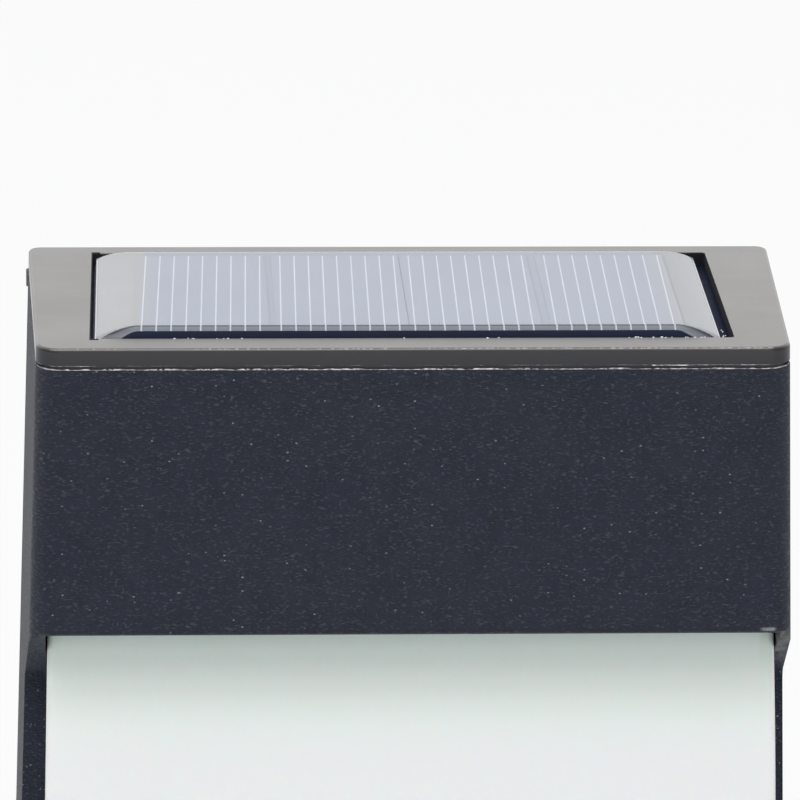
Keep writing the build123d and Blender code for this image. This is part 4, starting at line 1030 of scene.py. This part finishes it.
def make_cell():
    """The cell: a steel can with its nub, in a bare two-tone sleeve, with a white ring at the nub."""
    low, high = box_mm("battery_cell")
    centre = (low + high) / 2
    radius = (high.z - low.z) / 2
    length = high.x - low.x
    shoulder = length - 1.2
    stand = facing((low.x, centre.y, centre.z), (1, 0, 0))
    wall = radius - 0.2
    groove = radius - 0.55
    can = [(0, 0), (radius - 0.9, 0), (radius - 0.4, 0.2), (wall, 0.6), (wall, shoulder - 1.9)]
    can += [(groove, shoulder - 1.6), (groove, shoulder - 1.3), (wall, shoulder - 1.0)]
    can += [(radius - 0.3, shoulder - 0.2), (radius - 1.2, shoulder), (3.3, shoulder)]
    can += [(2.75, shoulder + 0.1), (2.7, length - 0.2), (2.5, length), (0, length)]
    bm = bmesh.new()
    turned(bm, can, 48, stand)
    finish_piece("cell_can", bm, "nickel_plate")
    skin = radius - 0.01
    inner = radius - 0.18
    sleeve = [(radius - 0.9, 0.02), (radius - 0.15, 0.05), (skin, 0.25), (skin, shoulder - 2.0)]
    sleeve += [(radius - 0.3, shoulder - 1.6), (radius - 0.3, shoulder - 1.3), (skin, shoulder - 1.0)]
    sleeve += [(radius - 0.06, shoulder - 0.1), (radius - 1.1, shoulder + 0.1)]
    sleeve += [(radius - 1.1, shoulder + 0.02), (radius - 0.4, shoulder - 0.3)]
    sleeve += [(inner, shoulder - 3.0), (inner, 0.5), (radius - 0.9, 0.12)]
    bm = bmesh.new()
    turned(bm, sleeve, 64, stand, ring=True)
    finish_piece("cell_sleeve", bm, "battery_wrap", replaces="battery_cell")
    washer = [(3.4, shoulder + 0.01), (radius - 1.0, shoulder + 0.01)]
    washer += [(radius - 1.05, shoulder + 0.16), (3.4, shoulder + 0.16)]
    bm = bmesh.new()
    turned(bm, washer, 40, stand, ring=True)
    finish_piece("cell_ring", bm, "white_plastic")


def make_solder():
    """A gilt pad and a cone of solder where each lead meets a board."""
    face = box_mm("control_board")[1].y
    low, high = box_mm("light_leads")
    wire_side = (high.x - low.x) / 2 - LEAD_RADIUS
    wire_height = (low.z + high.z) / 2
    pad = ((0, 0), (1.5, 0), (1.5, 0.05), (0, 0.05))
    cone = ((0, 0.03), (1.15, 0.03), (1.05, 0.14), (0.85, 0.45), (0.72, 0.85))
    cone += ((LEAD_RADIUS + 0.02, 1.1), (0, 1.1))
    pads = bmesh.new()
    joints = bmesh.new()
    for aside, y, z, way in (
        (PANEL_PAD_SIDE, face, PANEL_PAD_HEIGHT, 1),
        (BATTERY_PAD_SIDE, face, BATTERY_PAD_HEIGHT, 1),
        (wire_side, low.y, wire_height, 1),
        (wire_side, high.y, wire_height, -1),
    ):
        for side in (-1, 1):
            stand = facing((side * aside, y, z), (0, way, 0))
            turned(pads, pad, 24, stand)
            turned(joints, cone, 20, stand)
    finish_piece("solder_pads", pads, "nickel_plate", "gilt_pad")
    finish_piece("solder_joints", joints, "nickel_plate", "solder")


def make_board_parts():
    """Small parts of the control board: chip resistors with tinned ends, and one can capacitor."""
    face = box_mm("control_board")[1].y
    bodies = bmesh.new()
    ends = bmesh.new()
    resistors = [(10.5, 27.0), (10.5, 29.6), (14.2, 27.0), (-17.0, 27.5), (-17.0, 30.0), (-1.5, 38.6)]
    resistors += [(2.0, 38.6), (-1.5, 41.0), (-13.0, 20.6), (-9.4, 20.6), (-5.8, 20.6), (6.5, 21.0)]
    for x, z in resistors:
        slab(bodies, (x - 0.72, face + 0.02, z - 0.6), (x + 0.72, face + 0.5, z + 0.6), 0.05)
        for side in (-1, 1):
            slab_beside(ends, x, side, (0.68, 1.05), (face, z - 0.62), (face + 0.53, z + 0.62), 0.05)
    finish_piece("chip_resistors", bodies, "black_plastic")
    finish_piece("resistor_ends", ends, "nickel_plate", "solder")
    stand = facing((-10.2, face, 36.2), (0, 1, 0))
    jacket = [(0, 0.2), (2.3, 0.2), (2.45, 0.35), (2.45, 0.9), (2.28, 1.15), (2.45, 1.4), (2.45, 5.3)]
    jacket += [(2.2, 5.5), (1.9, 5.5), (1.9, 5.4), (0, 5.4)]
    bm = bmesh.new()
    turned(bm, jacket, 32, stand)
    finish_piece("capacitor_sleeve", bm, "black_plastic", "capacitor_sleeve")
    bm = bmesh.new()
    turned(bm, ((0, 5.3), (1.88, 5.3), (1.88, 5.46), (1.7, 5.5), (0, 5.5)), 32, stand)
    finish_piece("capacitor_top", bm, "nickel_plate", "solder")


make_resin()
make_fingers()
make_gap_shade()
make_light_fills()
make_chip()
make_choke()
make_cell()
make_solder()
make_board_parts()
make_seam_flash()
make_pale_specks()
make_threads()


# ---- room, lamps and camera ----


def pale_floor():
    """A pale floor that shows the shadow but stays near white to the eye, and is open from below."""
    bm = bmesh.new()
    made = bmesh.ops.create_grid(bm, x_segments=1, y_segments=1, size=6.0)["verts"]
    bmesh.ops.translate(bm, vec=(0, 0, -FLOOR_DROP * MM), verts=made)
    mesh = bpy.data.meshes.new("floor")
    bm.to_mesh(mesh)
    bm.free()
    material = new_finish("floor_paint", (0.88, 0.88, 0.88), 0.8)
    mesh.materials.append(material)
    seen = add(material, "ShaderNodeLightPath").outputs["Is Camera Ray"]
    glow = add(material, "ShaderNodeEmission", {"Color": (0.995, 1.0, 0.997, 1.0), "Strength": 1.0})
    overlay(material, times(material, seen, FLOOR_GLOW), glow)
    below = add(material, "ShaderNodeNewGeometry").outputs["Backfacing"]
    overlay(material, below, add(material, "ShaderNodeBsdfTransparent"))
    put_in_scene("floor", mesh)


def room_light():
    """An even pale room: white where it is seen or mirrored from behind, softer where it lights."""
    world = bpy.data.worlds.new("room")
    bpy.context.scene.world = world
    world.use_nodes = True
    world.node_tree.nodes.clear()
    rays = add(world, "ShaderNodeLightPath").outputs
    way = add(world, "ShaderNodeTexCoord").outputs["Generated"]
    backwards = add(world, "ShaderNodeSeparateXYZ", {0: way}).outputs["Y"]
    mirrored = spread(world, backwards, -0.1, 0.5, FRONT_MIRROR, 1.0)
    seen = combine(world, "MAXIMUM", rays["Is Camera Ray"], rays["Is Transmission Ray"])
    bright = add(world, "ShaderNodeMix", {0: rays["Is Glossy Ray"], 2: WORLD_FILL, 3: mirrored}).outputs[0]
    bright = add(world, "ShaderNodeMix", {0: seen, 2: bright, 3: 1.0}).outputs[0]
    sky = add(world, "ShaderNodeBackground", {"Color": (0.99, 1.0, 0.995, 1.0), "Strength": bright})
    add(world, "ShaderNodeOutputWorld", {"Surface": sky.outputs[0]})


def soft_lamp(name, position, size, power):
    """A square soft box aimed at the light's middle."""
    lamp = bpy.data.lights.new(name, "AREA")
    lamp.size = size
    lamp.energy = power
    holder = put_in_scene(name, lamp)
    holder.location = position
    holder.rotation_euler = (Vector(LAMP_TARGET) - Vector(position)).to_track_quat("-Z", "Y").to_euler()


def photo_camera():
    """The camera at the photograph's place, turned by its pitch, yaw and roll."""
    camera = bpy.data.cameras.new("camera")
    camera.sensor_width = SENSOR_WIDTH
    camera.lens = FOCAL_PIXELS / PHOTO_WIDTH * SENSOR_WIDTH
    camera.clip_start = 0.01
    camera.clip_end = 50.0
    holder = put_in_scene("camera", camera)
    flat = math.cos(CAMERA_PITCH)
    forward = Vector((math.sin(CAMERA_YAW) * flat, math.cos(CAMERA_YAW) * flat, -math.sin(CAMERA_PITCH)))
    level = Vector((math.cos(CAMERA_YAW), -math.sin(CAMERA_YAW), 0))
    down = forward.cross(level)
    right = math.cos(CAMERA_ROLL) * level + math.sin(CAMERA_ROLL) * down
    down = math.cos(CAMERA_ROLL) * down - math.sin(CAMERA_ROLL) * level
    turn = Matrix((right, -down, -forward)).transposed().to_4x4()
    position = MM * Vector((CAMERA_SIDE, lid_low.y - CAMERA_DISTANCE, lid_high.z + CAMERA_RISE))
    holder.matrix_world = Matrix.Translation(position) @ turn
    bpy.context.scene.camera = holder


photo_camera()
pale_floor()
room_light()
soft_lamp("overhead_lamp", (-0.2, -0.45, 1.2), 1.0, 9.5)
soft_lamp("front_lamp", (0.3, -1.4, 0.5), 0.9, 1.9)
bpy.context.scene.view_settings.view_transform = "Standard"
